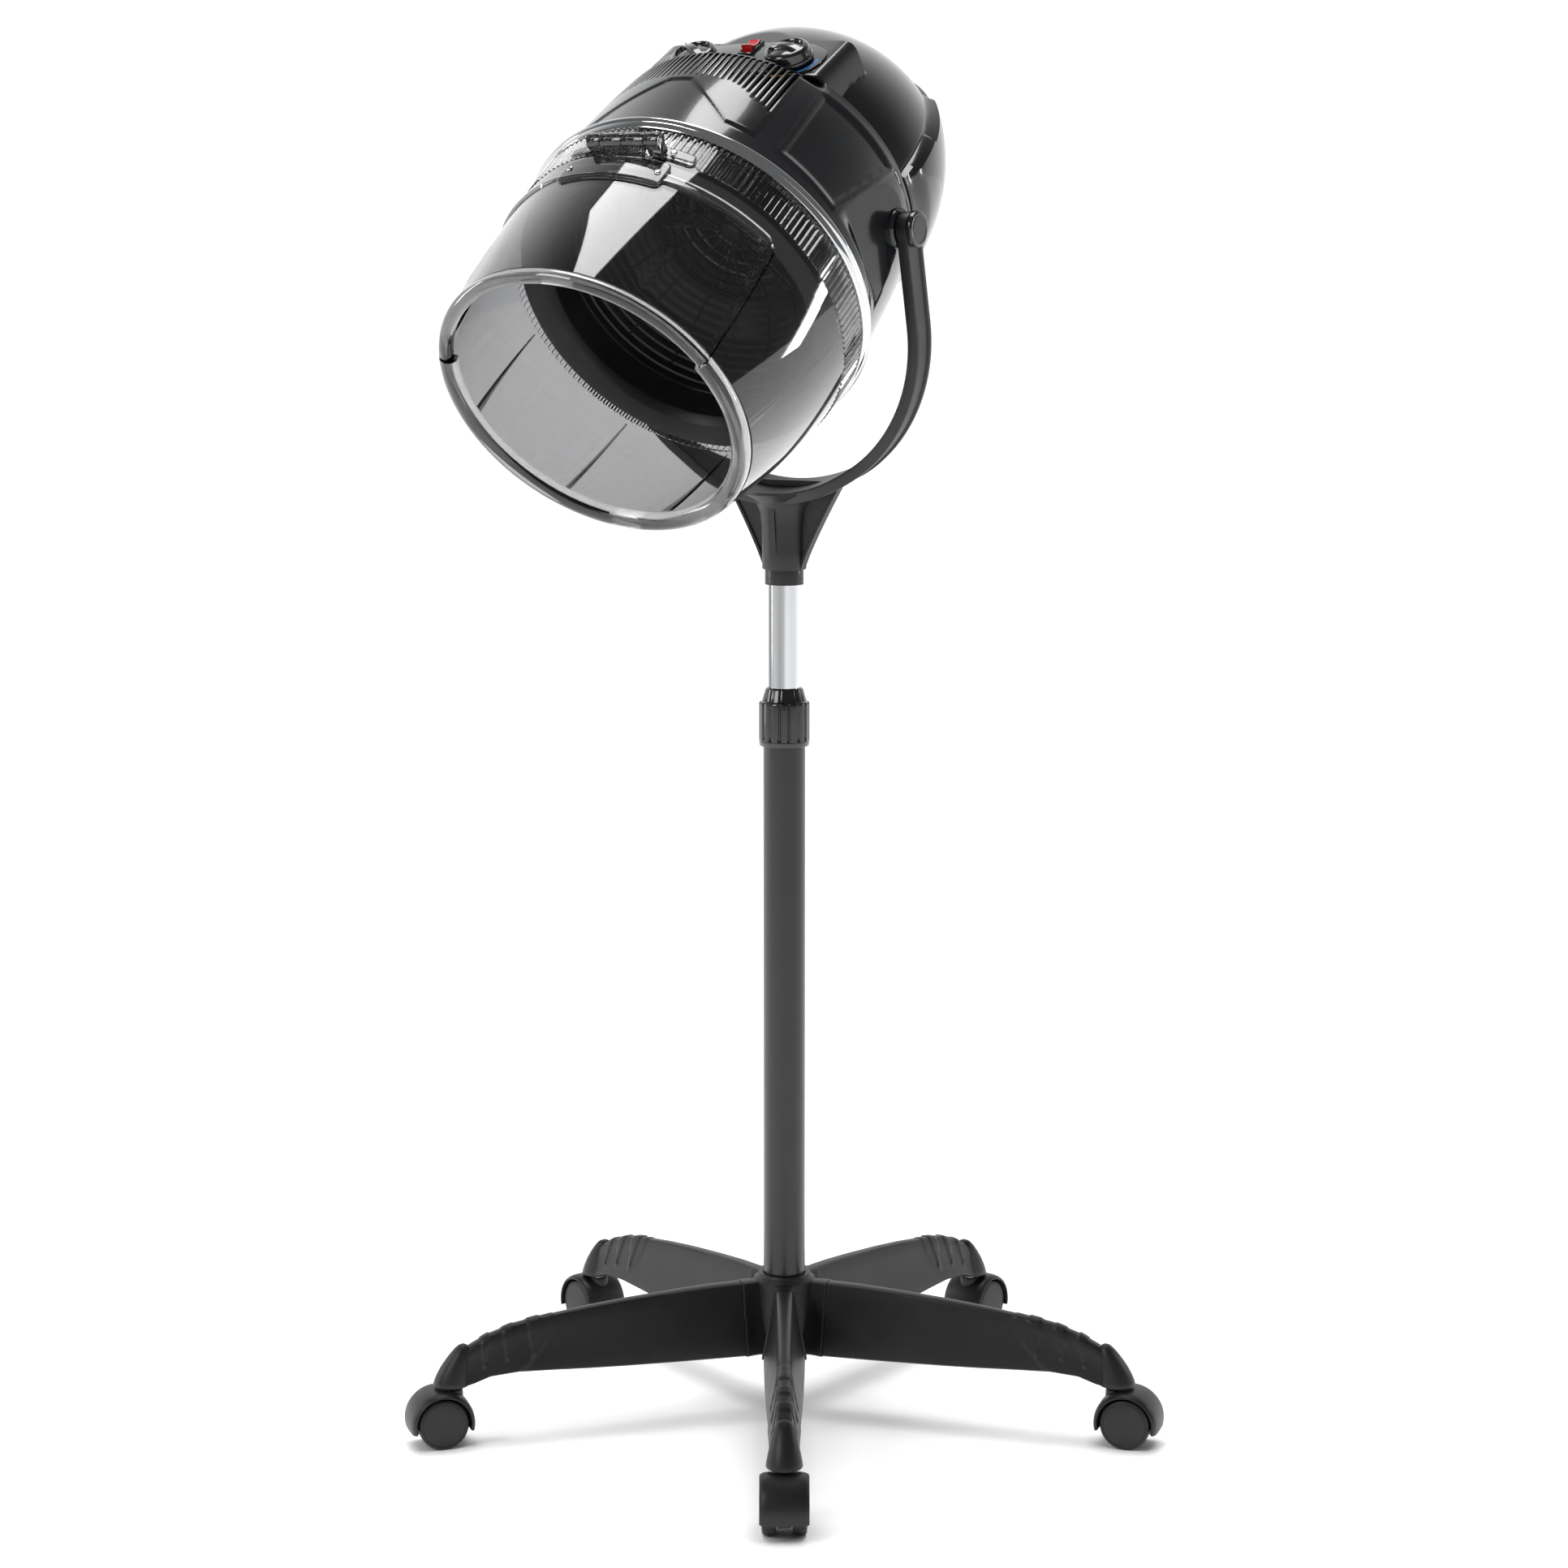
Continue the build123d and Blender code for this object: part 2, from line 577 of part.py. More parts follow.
def hinge_pin():
    return cross_rod(PIN_R, HINGE_U - 36, HINGE_U + 36, HINGE_V, HINGE_S)


def screw_pair(places, along, seat):
    solids = []
    for across in places:
        screw = rod(1.5, seat - 5, seat) + rod(3.0, seat, seat + 1.6)
        solids.append(HOOD * screw_axis(across, along) * screw)
    return group(solids)


def inner_bowl():
    return turned([(157.0, 118), (157.0, 148), (134, 148), (128, 141), (119, 102), (101, 62), (76.2, 36), (76.2, 31),
                   (79.2, 31), (104, 59.5), (122, 101), (131, 138), (136, 145.5), (154.5, 145.5), (154.5, 118)])


def fan_grille():
    parts = [rod(9.0, 32, 35)]
    for radius in (20, 31, 42, 53, 64, 75.8):
        parts.append(rod(radius, 32, 35) - rod(radius - 2.2, 31, 36))
    for angle in spaced(16):
        parts.append(Rot(0, 0, angle) * block(5, 75, -0.9, 0.9, 32, 35))
    body = parts[0]
    for piece in parts[1:]:
        body += piece
    return body


def control_panel():
    half = [(84, 3), (90, 25), (86, 44), (62, 60), (0, 66)]
    outline = half + [(-x, y) for x, y in reversed(half[:-1])]
    plate = Pos(0, 0, 0.05) * extrude(make_face(Polyline(*outline, close=True)), PLATE)
    for across in (TIMER_U, TEMPERATURE_U):
        plate -= Pos(across, panel_along(KNOB_S), 0) * Cylinder(SHAFT_R + 1.5, 10)
    plate -= Pos(0, panel_along(ROCKER_S), 0) * Box(SWITCH_WIDE + 0.4, SWITCH_LONG + 0.4, 10)
    return panel_plane() * plate


def knob(across):
    """A skirted knob with a raised grip bar across its face."""
    body = turned([(0, 2.2), (KNOB_R, 2.2), (KNOB_R, 7), (KNOB_R - 2, 12), (KNOB_R - 4, 13.5), (0, 13.5)])
    body += block(-4, 4, -KNOB_R + 4, KNOB_R - 4, 13, KNOB_TALL)
    body -= rod(SHAFT_R + RUN, 0, 11.1)
    return panel_plane() * Pos(across, panel_along(KNOB_S), 0) * body


def control_unit(across, size):
    """A timer or thermostat under the panel, with its shaft."""
    body = block(-size / 2, size / 2, -size / 2, size / 2, -32, -6) + rod(8.0, -7, -4.5) + rod(SHAFT_R, -5, 11)
    return panel_plane() * Pos(across, panel_along(KNOB_S), 0) * body


def rocker_place():
    return panel_plane() * Pos(0, panel_along(ROCKER_S), 0)


def rocker():
    outline = [(-8.5, 7), (0, 4.6), (8.5, 7), (6.5, -4.5), (-6.5, -4.5)]
    paddle = extrude(Plane.YZ * make_face(Polyline(*outline, close=True)), 10.4)
    paddle = Pos(-5.2, 0, 0) * paddle + cross_rod(1.2, -5.9, 5.9)
    return rocker_place() * Rot(-ROCKER_THROW / 2, 0, 0) * paddle


def switch_housing():
    rim = block(-7.9, 7.9, -12.9, 12.9, PLATE + 0.1, PLATE + 2.1)
    body = rim + block(-SWITCH_WIDE / 2, SWITCH_WIDE / 2, -SWITCH_LONG / 2, SWITCH_LONG / 2, -16, PLATE + 0.1)
    body -= block(-5.45, 5.45, -10.4, 10.4, -11, 10)
    body -= cross_rod(1.2 + RUN, -6, 6)
    return rocker_place() * body


def fan_impeller():
    body = rod(14.0, -20, -4) + rod(FAN_R - 2, -20, -18)
    for angle in spaced(9):
        blade = block(12, FAN_R - 3, -0.9, 0.9, -19, -4)
        body += Rot(0, 0, angle) * blade
    return body - rod(2.0 + RUN, -21, -5)


def motor():
    return rod(MOTOR_R, -78, -32) + rod(9.0, -33, -26) + rod(2.0, -27, -6)


def heater_frame():
    """Mica cross that carries the coil, on legs that also hold the motor."""
    ring = rod(78.0, 6, 29) - rod(75.0, 5, 30)
    flange = rod(98.0, 27, 30.8) - rod(75.0, 26, 31)
    flange &= cone(73.0, 101.0, 20, 49)
    body = ring + flange
    for angle in spaced(6):
        body += Rot(0, 0, angle) * block(8, 76, -0.75, 0.75, 8, 26)
    body += rod(10.0, 8, 26)
    for angle in spaced(3, 30):
        body += Rot(0, 0, angle) * block(74, 77.5, -8, 8, -52, 8)
        body += Rot(0, 0, angle) * block(MOTOR_R - 3, 77.5, -8, 8, -55, -50)
    body -= rod(MOTOR_R + FIT, -80, -30)
    for radius in (30.0, 48.0, 62.0):
        body -= Pos(0, 0, 17) * Torus(radius, 1.6)
    return body


def heating_coil():
    coils = [Pos(0, 0, 17) * Torus(radius, 1.5) for radius in (30.0, 48.0, 62.0)]
    return group([HOOD * coil for coil in coils])


# ---------------------------------------------------------------- files


def main():
    save("base_hub", base_hub())
    arm = base_arm()
    stem = caster_stem()
    housing = caster_housing()
    axle = caster_axle()
    wheels = {"left": caster_wheel(1), "right": caster_wheel(-1)}
    stems = []
    for number, angle in enumerate(spaced(ARM_COUNT, FIRST_ARM), 1):
        turn = Rot(0, 0, angle)
        save(f"base_arm_{number}", turn * arm)
        stems.append(turn * stem)
        save(f"caster_{number}_housing", turn * housing)
        save(f"caster_{number}_axle", turn * axle)
        for side, wheel in wheels.items():
            save(f"caster_{number}_wheel_{side}", turn * wheel)
    save("caster_stems", group(stems))

    for maker in (lower_tube, base_bolt, collet, height_collar, upper_tube, guide_bush, yoke_bush, yoke,
                  pivot_bolts, pivot_caps):
        save(maker.__name__, maker())

    for maker in (hood_shell, rear_cover, trim_ring, inner_bowl, fan_grille, shield, visor, hinge_base, hinge_leaf,
                  hinge_pin, control_panel, rocker, switch_housing, fan_impeller, motor, heater_frame):
        save(maker.__name__, HOOD * maker())
    save("heating_coil", heating_coil())
    save("hinge_base_screws", screw_pair(BASE_SCREWS, BASE_SCREWS_S, 2.6))
    save("visor_screws", screw_pair(LEAF_SCREWS, LEAF_SCREWS_S, 1.6))
    save("timer_knob", HOOD * knob(TIMER_U))
    save("temperature_knob", HOOD * knob(TEMPERATURE_U))
    save("timer_unit", HOOD * control_unit(TIMER_U, 34))
    save("thermostat_unit", HOOD * control_unit(TEMPERATURE_U, 28))


main()
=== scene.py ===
import json
import math

import bmesh
import bpy
import numpy as np
from mathutils import Matrix, Vector


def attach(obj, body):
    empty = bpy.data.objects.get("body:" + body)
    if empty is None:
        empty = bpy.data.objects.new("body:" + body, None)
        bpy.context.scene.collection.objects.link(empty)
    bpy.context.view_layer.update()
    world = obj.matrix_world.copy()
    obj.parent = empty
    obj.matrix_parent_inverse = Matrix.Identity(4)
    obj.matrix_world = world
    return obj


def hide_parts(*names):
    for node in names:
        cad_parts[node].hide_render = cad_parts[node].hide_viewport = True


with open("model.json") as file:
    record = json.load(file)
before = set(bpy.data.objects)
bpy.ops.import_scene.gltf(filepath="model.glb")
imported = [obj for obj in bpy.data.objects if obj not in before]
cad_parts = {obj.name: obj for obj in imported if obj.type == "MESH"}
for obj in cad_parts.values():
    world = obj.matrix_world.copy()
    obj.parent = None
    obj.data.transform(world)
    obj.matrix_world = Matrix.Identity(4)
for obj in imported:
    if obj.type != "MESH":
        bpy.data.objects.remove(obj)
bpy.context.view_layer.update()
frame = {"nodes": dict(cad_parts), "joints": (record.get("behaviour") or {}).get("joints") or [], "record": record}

MM = 0.001

# Driving sizes, in millimetres, as in the CAD model
AXIS_LIFT = 19.9
SADDLE_Z = 895.0
SEAM = -38.0
SHELL_END = 112.7
RING_REAR = 101.8
BAND_END = 148.2
VISOR_START = 165.0
RIM = 303.0
RIM_R = 146.0
RIM_LIFT = 12.0
RIM_SLOPE = 4.0
RIM_TUBE = 8.5
VISOR_TUBE = 6.6
SHIELD_R = 164.0
SHIELD_WALL = 3.0
DOME_CENTRE = -60.0
DOME_LENGTH = 174.0
DOME_R = 150.0
DOME_DROP = 30.0
PANEL_HEIGHT = 118.8
PANEL_SLOPE = 0.12
PANEL_HALF = 100.0
PANEL_REAR = -107.0
WALL = 2.5
FLAT = 152.0
SLOT_PITCH = 2.25
SLOT_HALF = 0.8
SLOT_TIP = 0.22
SLOT_SPAN = 33.9
TEETH = 168
TOOTH_R = 165.0
TOOTH_DEPTH = 1.5
BAND_INNER_R = 161.0
KNOB_S = -60.0
TIMER_U = -41.0
TEMPERATURE_U = 57.0
ROCKER_S = -91.0
KNOB_TALL = 20.5
DIAL_R = 26.8            # the coloured arcs round the temperature knob
TICK_R = 24.2            # the inner ends of the timer's ticks
DIGIT_R = 30.6
YOKE_INNER = 157.0
YOKE_THICK = 11.0
ARM_COUNT = 5
STEM_RADIUS = 330.0
TRAIL = 13.0
WHEEL_R = 24.0
WHEEL_WIDTH = 13.5
WHEEL_GAP = 14.5
FIRST_ARM = -90.0
INLET_V = -60.0
BARREL_R = 7.5
PIN_HOLE_R = 2.6
BARREL_HALF = 36.0       # the hinge's whole barrel, and the leaf's share of it
LEAF_HALF = 22.0
SLOT_START = SEAM + 6    # the shell's plain edge stands before the cooling slots
SPOKES = 16
LENS = 83.26
SENSOR = 36.0
CAMERA_PLACE = (-0.0003, -3.409, 1.1438)
CAMERA_TILT = 81.21

# ---------------------------------------------------------------- frames

joints = {joint["name"]: joint for joint in frame["joints"]}
axis = Vector(joints["fan_spin"]["axis"]).normalized()
across = Vector(joints["hood_tilt"]["axis"]).normalized()
lift = axis.cross(across)
pivot = Vector(joints["hood_tilt"]["pos_m"])


def basis(x, y, z, origin):
    m = Matrix.Identity(4)
    for column, v in enumerate((x, y, z, origin)):
        for row in range(3):
            m[row][column] = v[row]
    return m


HOOD = basis(across, lift, axis, pivot + lift * AXIS_LIFT * MM)
lean = (pivot - Vector((0, 0, SADDLE_Z * MM))).normalized()
YOKE = basis(across, lean, across.cross(lean), pivot)
ROW = Matrix.Identity(4)
slope = math.atan(PANEL_SLOPE)
panel_z = Vector((0, math.cos(slope), -math.sin(slope)))
panel_y = panel_z.cross(Vector((1, 0, 0)))
PANEL = HOOD @ basis(Vector((1, 0, 0)), panel_y, panel_z, Vector((0, PANEL_HEIGHT, SEAM)) * MM)


HINGE_U, HINGE_V, HINGE_S = HOOD.inverted() @ Vector(joints["visor_flip"]["pos_m"]) / MM


def along_panel(s):
    return (SEAM - s) / math.cos(slope)


# ---------------------------------------------------------------- materials


def node_material(name, colour, rough, **options):
    """A plastic, paint or metal with slow colour drift, mottled roughness and a fine surface bump."""
    m = bpy.data.materials.new(name)
    m.use_nodes = True
    nodes, links = m.node_tree.nodes, m.node_tree.links
    shader = nodes["Principled BSDF"]
    place = nodes.new("ShaderNodeTexCoord")
    drift = nodes.new("ShaderNodeTexNoise")
    drift.inputs["Scale"].default_value = options.get("drift", 14.0)
    drift.inputs["Detail"].default_value = 5.0
    along = nodes.new("ShaderNodeMapping")
    along.inputs["Scale"].default_value = options.get("streak", (1, 1, 1))
    links.new(place.outputs["Object"], along.inputs["Vector"])
    links.new(along.outputs["Vector"], drift.inputs["Vector"])
    tint = nodes.new("ShaderNodeValToRGB")
    low, high = tint.color_ramp.elements
    low.position, high.position = 0.3, 0.7
    vary = options.get("vary", 0.22)
    low.color = (*[c * (1 - vary) for c in colour], 1)
    high.color = (*[min(1.0, c * (1 + vary)) for c in colour], 1)
    links.new(drift.outputs["Fac"], tint.inputs["Fac"])
    links.new(tint.outputs["Color"], shader.inputs["Base Color"])
    mottle = nodes.new("ShaderNodeTexNoise")
    mottle.inputs["Scale"].default_value = options.get("mottle", 45.0)
    mottle.inputs["Detail"].default_value = 6.0
    links.new(place.outputs["Object"], mottle.inputs["Vector"])
    gloss = nodes.new("ShaderNodeMapRange")
    spread = options.get("spread", 0.06)
    gloss.inputs["To Min"].default_value = max(0.01, rough - spread)
    gloss.inputs["To Max"].default_value = rough + spread
    links.new(mottle.outputs["Fac"], gloss.inputs["Value"])
    links.new(gloss.outputs["Result"], shader.inputs["Roughness"])
    grain = nodes.new("ShaderNodeTexNoise")
    grain.inputs["Scale"].default_value = options.get("grain", 900.0)
    grain.inputs["Detail"].default_value = 3.0
    stretch = nodes.new("ShaderNodeMapping")
    stretch.inputs["Scale"].default_value = options.get("stretch", (1, 1, 1))
    links.new(place.outputs["Object"], stretch.inputs["Vector"])
    links.new(stretch.outputs["Vector"], grain.inputs["Vector"])
    bump = nodes.new("ShaderNodeBump")
    bump.inputs["Strength"].default_value = options.get("bump", 0.15)
    bump.inputs["Distance"].default_value = options.get("depth", 0.0003)
    links.new(grain.outputs["Fac"], bump.inputs["Height"])
    links.new(bump.outputs["Normal"], shader.inputs["Normal"])
    shader.inputs["Metallic"].default_value = options.get("metal", 0.0)
    shader.inputs["IOR"].default_value = options.get("ior", 1.5)
    shader.inputs["Coat Weight"].default_value = options.get("coat", 0.0)
    shader.inputs["Coat Roughness"].default_value = options.get("coat_rough", 0.04)
    shader.inputs["Transmission Weight"].default_value = options.get("clear", 0.0)
    return m


LOOKS = {
    "gloss_black": node_material("gloss_black_shell", (0.0105, 0.0115, 0.013), 0.15, spread=0.04, coat=0.45,
                                 coat_rough=0.035, grain=160.0, bump=0.035, depth=0.0002, ior=1.42),
    "black_plastic": node_material("black_moulding", (0.0125, 0.0128, 0.0135), 0.42, spread=0.07,
                                   grain=1500.0,
                                   bump=0.3, depth=0.00025, ior=1.46),
    "wheel_black": node_material("wheel_moulding", (0.011, 0.0112, 0.0118), 0.5, spread=0.06, grain=1300.0,
                                 bump=0.25, depth=0.00025),
    "pole_black": node_material("painted_pole", (0.0105, 0.0112, 0.0125), 0.34, spread=0.05, grain=700.0,
                                bump=0.1,
                                depth=0.0002, coat=0.25, coat_rough=0.2, ior=1.45),
    "collar_black": node_material("collar_gloss", (0.009, 0.0095, 0.0105), 0.2, spread=0.05, grain=400.0,
                                  bump=0.06,
                                  depth=0.0002, coat=0.5),
    "bowl_black": node_material("bowl_satin", (0.0085, 0.0088, 0.0095), 0.36, spread=0.06, grain=800.0,
                                bump=0.15,
                                depth=0.0002, ior=1.45),
    "panel_black": node_material("panel_gloss", (0.008, 0.0085, 0.01), 0.2, spread=0.05, grain=350.0,
                                 bump=0.05,
                                 depth=0.0002, coat=0.6),
    "knob_black": node_material("knob_gloss", (0.009, 0.0095, 0.011), 0.16, spread=0.05, grain=300.0,
                                bump=0.05,
                                depth=0.0002, coat=0.7),
    "red_plastic": node_material("rocker_red", (0.62, 0.012, 0.014), 0.2, spread=0.05, vary=0.08, grain=300.0,
                                 bump=0.05, depth=0.0002, coat=0.5),
    "chrome": node_material("chrome_plate", (0.74, 0.75, 0.76), 0.085, spread=0.03, metal=1.0, vary=0.03,
                            grain=260.0, bump=0.02, depth=0.0001),
    # Painted reflections: the chrome tube's base colour swings strongly between bright and dark in long streaks
    # along the tube. These stand in for reflected studio light and are fixed to the tube.
    "chrome_with_painted_reflections": node_material("chrome_painted_reflection_streaks", (0.5, 0.505, 0.515), 0.13, spread=0.04, metal=1.0, vary=0.75,
                                 drift=95.0, streak=(1, 1, 0.004),
                                 grain=600.0, bump=0.12, depth=0.0002, stretch=(1, 1, 0.01)),
    "steel": node_material("screw_steel", (0.62, 0.62, 0.6), 0.2, spread=0.08, metal=1.0, vary=0.08,
                           grain=900.0,
                           bump=0.1, depth=0.0001),
    "black_steel": node_material("blackened_steel", (0.03, 0.03, 0.032), 0.4, metal=0.8, grain=900.0),
    "inner_plastic": node_material("inner_moulding", (0.02, 0.02, 0.021), 0.55, grain=900.0, bump=0.2),
    "motor_steel": node_material("motor_case", (0.35, 0.35, 0.34), 0.35, metal=1.0, grain=500.0, bump=0.1),
    "mica": node_material("mica_board", (0.2, 0.17, 0.13), 0.5, vary=0.18, grain=300.0, bump=0.2, drift=60.0),
    "coil_wire": node_material("resistance_wire", (0.3, 0.27, 0.24), 0.4, metal=1.0, grain=900.0),
    "smoked_clear": node_material("smoked_acrylic", (0.38, 0.382, 0.386), 0.03, spread=0.012, vary=0.03,
                                  clear=1.0,
                                  grain=70.0, bump=0.012, depth=0.0002, ior=1.34, drift=6.0, coat=0.8, coat_rough=0.015),
    "smoked_dark": node_material("smoked_hinge", (0.2, 0.202, 0.206), 0.06, spread=0.03, vary=0.05,
                                 clear=0.95,
                                 grain=120.0, bump=0.02, depth=0.0002, ior=1.25, drift=9.0, coat=1.0),
    "print_blue": node_material("print_blue", (0.02, 0.2, 0.55), 0.35, vary=0.06, grain=900.0, bump=0.05),
    "print_yellow": node_material("print_yellow", (0.7, 0.45, 0.03), 0.35, vary=0.06, grain=900.0, bump=0.05),
    "print_red": node_material("print_red", (0.45, 0.03, 0.02), 0.35, vary=0.06, grain=900.0, bump=0.05),
    "print_white": node_material("print_white", (0.5, 0.5, 0.48), 0.4, vary=0.05, grain=900.0, bump=0.05),
    "print_gold": node_material("print_gold", (0.35, 0.25, 0.09), 0.35, vary=0.08, grain=900.0, bump=0.05),
}

# ---------------------------------------------------------------- mesh tools


def piece(name, parts, body, slot, place=HOOD, nodes=(), look=None, sharp=32.0):
    """One object from several (points in mm, faces) parts, put in its place and riding on its body."""
    points, faces = [], []
    for verts, quads in parts:
        start = len(points)
        points.extend([tuple(v) for v in verts])
        faces.extend([tuple(int(i) + start for i in f) for f in quads])
    mesh = bpy.data.meshes.new(name)
    mesh.from_pydata([(x * MM, y * MM, z * MM) for x, y, z in points], [], faces)
    mesh.transform(place)
    bm = bmesh.new()
    bm.from_mesh(mesh)
    bmesh.ops.remove_doubles(bm, verts=bm.verts, dist=1e-7)
    loose = [v for v in bm.verts if not v.link_faces]
    bmesh.ops.delete(bm, geom=loose, context="VERTS")
    bmesh.ops.recalc_face_normals(bm, faces=bm.faces)
    bm.to_mesh(mesh)
    bm.free()
    mesh.shade_smooth()
    mesh.set_sharp_from_angle(angle=math.radians(sharp))
    obj = bpy.data.objects.new(name, mesh)
    bpy.context.scene.collection.objects.link(obj)
    mesh.materials.append(LOOKS[look or slot])
    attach(obj, body)
    if nodes:
        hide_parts(*nodes)
    return obj


def smooth(x):
    x = np.clip(x, 0.0, 1.0)
    return x * x * (3 - 2 * x)


def thick_shell(outer, inner, keep=None, wrap=True):
    """A closed wall between two matching grids of points; cells that aren't kept are holes right through it."""
    rows, cols = outer.shape[:2]
    index = np.arange(rows * cols).reshape(rows, cols)
    if wrap:
        ahead = np.roll(index, -1, axis=1)
        a, b, c, d = index[:-1], ahead[:-1], ahead[1:], index[1:]
    else:
        a, b, c, d = index[:-1, :-1], index[:-1, 1:], index[1:, 1:], index[1:, :-1]
    if keep is None:
        keep = np.ones(a.shape, bool)
    n = rows * cols
    faces = [np.stack([a[keep], b[keep], c[keep], d[keep]], 1)]
    faces.append(np.stack([d[keep], c[keep], b[keep], a[keep]], 1) + n)
    none = np.zeros((1, keep.shape[1]), bool)
    before = np.vstack([none, keep[:-1]])
    after = np.vstack([keep[1:], none])
    if wrap:
        left, right = np.roll(keep, 1, axis=1), np.roll(keep, -1, axis=1)
    else:
        side = np.zeros((keep.shape[0], 1), bool)
        left, right = np.hstack([side, keep[:, :-1]]), np.hstack([keep[:, 1:], side])
    for lone, p, q in ((keep & ~before, a, b), (keep & ~after, c, d), (keep & ~left, d, a), (keep & ~right, b,
            c)):
        faces.append(np.stack([q[lone], p[lone], p[lone] + n, q[lone] + n], 1))
    return np.vstack([outer.reshape(-1, 3), inner.reshape(-1, 3)]), np.vstack(faces)


def loop_grid(grid, close_rows=False, wrap=True, caps=False):
    """Faces over a grid of points, round its columns and, if asked, round its rows too."""
    rows, cols = grid.shape[:2]
    index = np.arange(rows * cols).reshape(rows, cols)
    following = np.roll(index, -1, axis=0) if close_rows else index[1:]
    first = index if close_rows else index[:-1]
    if wrap:
        quads = np.stack([first, np.roll(first, -1, axis=1), np.roll(following, -1, axis=1), following], -1)
    else:
        quads = np.stack([first[:, :-1], first[:, 1:], following[:, 1:], following[:, :-1]], -1)
    faces = [tuple(q) for q in quads.reshape(-1, 4)]
    if caps:
        faces.append(tuple(index[0][::-1]))
        faces.append(tuple(index[-1]))
    return grid.reshape(-1, 3), faces


def polar(radius, degrees, height):
    turn = np.radians(degrees)
    return np.stack([radius * np.cos(turn), radius * np.sin(turn), height + 0 * turn], -1)


def turned(profile, cols=96, flute=None):
    """A closed outline of (radius, height) turned about Z; flute(r, height, degrees) may change r."""
    degrees = np.arange(cols) * 360.0 / cols
    rows = []
    for radius, height in profile:
        r = np.full(cols, float(radius))
        if flute is not None:
            r = flute(r, height, degrees)
        rows.append(polar(r, degrees, height))
    return loop_grid(np.array(rows), close_rows=True)


def arc_points(cx, cy, radius, start, end, count):
    turns = np.radians(np.linspace(start, end, count))
    return [(cx + radius * math.cos(t), cy + radius * math.sin(t)) for t in turns]


def rounded_outline(points, radius, steps=5):
    """A closed outline with each corner rounded."""
    result = []
    count = len(points)
    for i in range(count):
        p = np.array(points[i], float)
        before = np.array(points[i - 1], float) - p
        after = np.array(points[(i + 1) % count], float) - p
        reach = min(radius, 0.45 * np.linalg.norm(before), 0.45 * np.linalg.norm(after))
        start = p + before / np.linalg.norm(before) * reach
        end = p + after / np.linalg.norm(after) * reach
        for t in np.linspace(0, 1, steps):
            result.append(tuple((1 - t) ** 2 * start + 2 * t * (1 - t) * p + t * t * end))
    return result


def slab(outline, low, high, edge=0.6, steps=3):
    """A flat plate of an outline in X and Y, with rounded edges top and bottom."""
    base = np.array(outline, float)
    centre = base.mean(axis=0)
    tangent = np.roll(base, -1, axis=0) - np.roll(base, 1, axis=0)
    normal = np.stack([tangent[:, 1], -tangent[:, 0]], 1)
    normal /= np.linalg.norm(normal, axis=1)[:, None] + 1e-12
    if ((base - centre) * normal).sum() < 0:
        normal = -normal
    rows = []
    for i in range(steps + 1):
        t = math.radians(90.0 * i / steps)
        rows.append((edge * (1 - math.sin(t)), low + edge * (1 - math.cos(t))))
    rows += [(inset, low + high - z) for inset, z in reversed(rows)]
    grid = []
    for inset, z in rows:
        ring = base - normal * inset
        grid.append(np.column_stack([ring, np.full(len(ring), z)]))
    return loop_grid(np.array(grid), caps=True)


def swept(centres, sideways, upward, section):
    """A closed section (a, b) carried along centres, a sideways and b upward, closed at both ends."""
    grid = []
    for i, centre in enumerate(centres):
        shape = section(i) if callable(section) else section
        grid.append([centre + sideways[i] * a + upward[i] * b for a, b in shape])
    return loop_grid(np.array(grid, float), caps=True)


def moved(part, shift=(0, 0, 0), turn=0.0):
    """A part turned about Z and then shifted."""
    verts = np.array(part[0], float)
    c, s = math.cos(math.radians(turn)), math.sin(math.radians(turn))
    spun = verts @ np.array([[c, s, 0], [-s, c, 0], [0, 0, 1]])
    return spun + np.array(shift, float), part[1]


def mapped(part, matrix):
    """A part in millimetres taken through a matrix whose lengths are metres."""
    m = np.array(matrix)
    return np.array(part[0], float) @ m[:3, :3].T + m[:3, 3] / MM, part[1]


def inside_distance(x, y, outline):
    """Distance in from a closed outline, negative outside it."""
    best = np.full(x.shape, 1e9)
    inside = np.zeros(x.shape, bool)
    for (x0, y0), (x1, y1) in zip(outline, outline[1:] + outline[:1]):
        dx, dy = x1 - x0, y1 - y0
        t = np.clip(((x - x0) * dx + (y - y0) * dy) / (dx * dx + dy * dy), 0, 1)
        best = np.minimum(best, np.hypot(x - x0 - t * dx, y - y0 - t * dy))
        crossing = (y0 > y) != (y1 > y)
        if y0 != y1:
            inside ^= crossing & (x < x0 + (y - y0) * dx / dy)
    return np.where(inside, best, -best)


# ---------------------------------------------------------------- hood shell


def fold_of(degrees):
    """Angle from the hood's top, the same on both sides."""
    return np.abs((degrees - 90.0 + 180.0) % 360.0 - 180.0)


def shell_radius(s):
    knots_s = (SEAM, -10.0, 40.0, RING_REAR - 2)
    knots_r = (148.5, 153.0, 158.0, 163.3)
    total = 0.0
    for i in range(4):
        term = knots_r[i]
        for j in range(4):
            if i != j:
                term = term * (s - knots_s[j]) / (knots_s[i] - knots_s[j])
        total = total + term
    return np.where(s > RING_REAR - 2, 163.3, total)


ARC = 2.757              # millimetres of surface in one degree
BRIDGE = [(-30.0, -70.0), (35 * ARC, -70.0), (35 * ARC, 77.0), (24.5 * ARC, 76.0), (4 * ARC, 24.0), (-30.0,
        24.0)]
SIDE_PANEL = [(44.5 * ARC, -26.0), (44.5 * ARC, 76.0), (68 * ARC, 80.0), (80 * ARC, -27.0)]


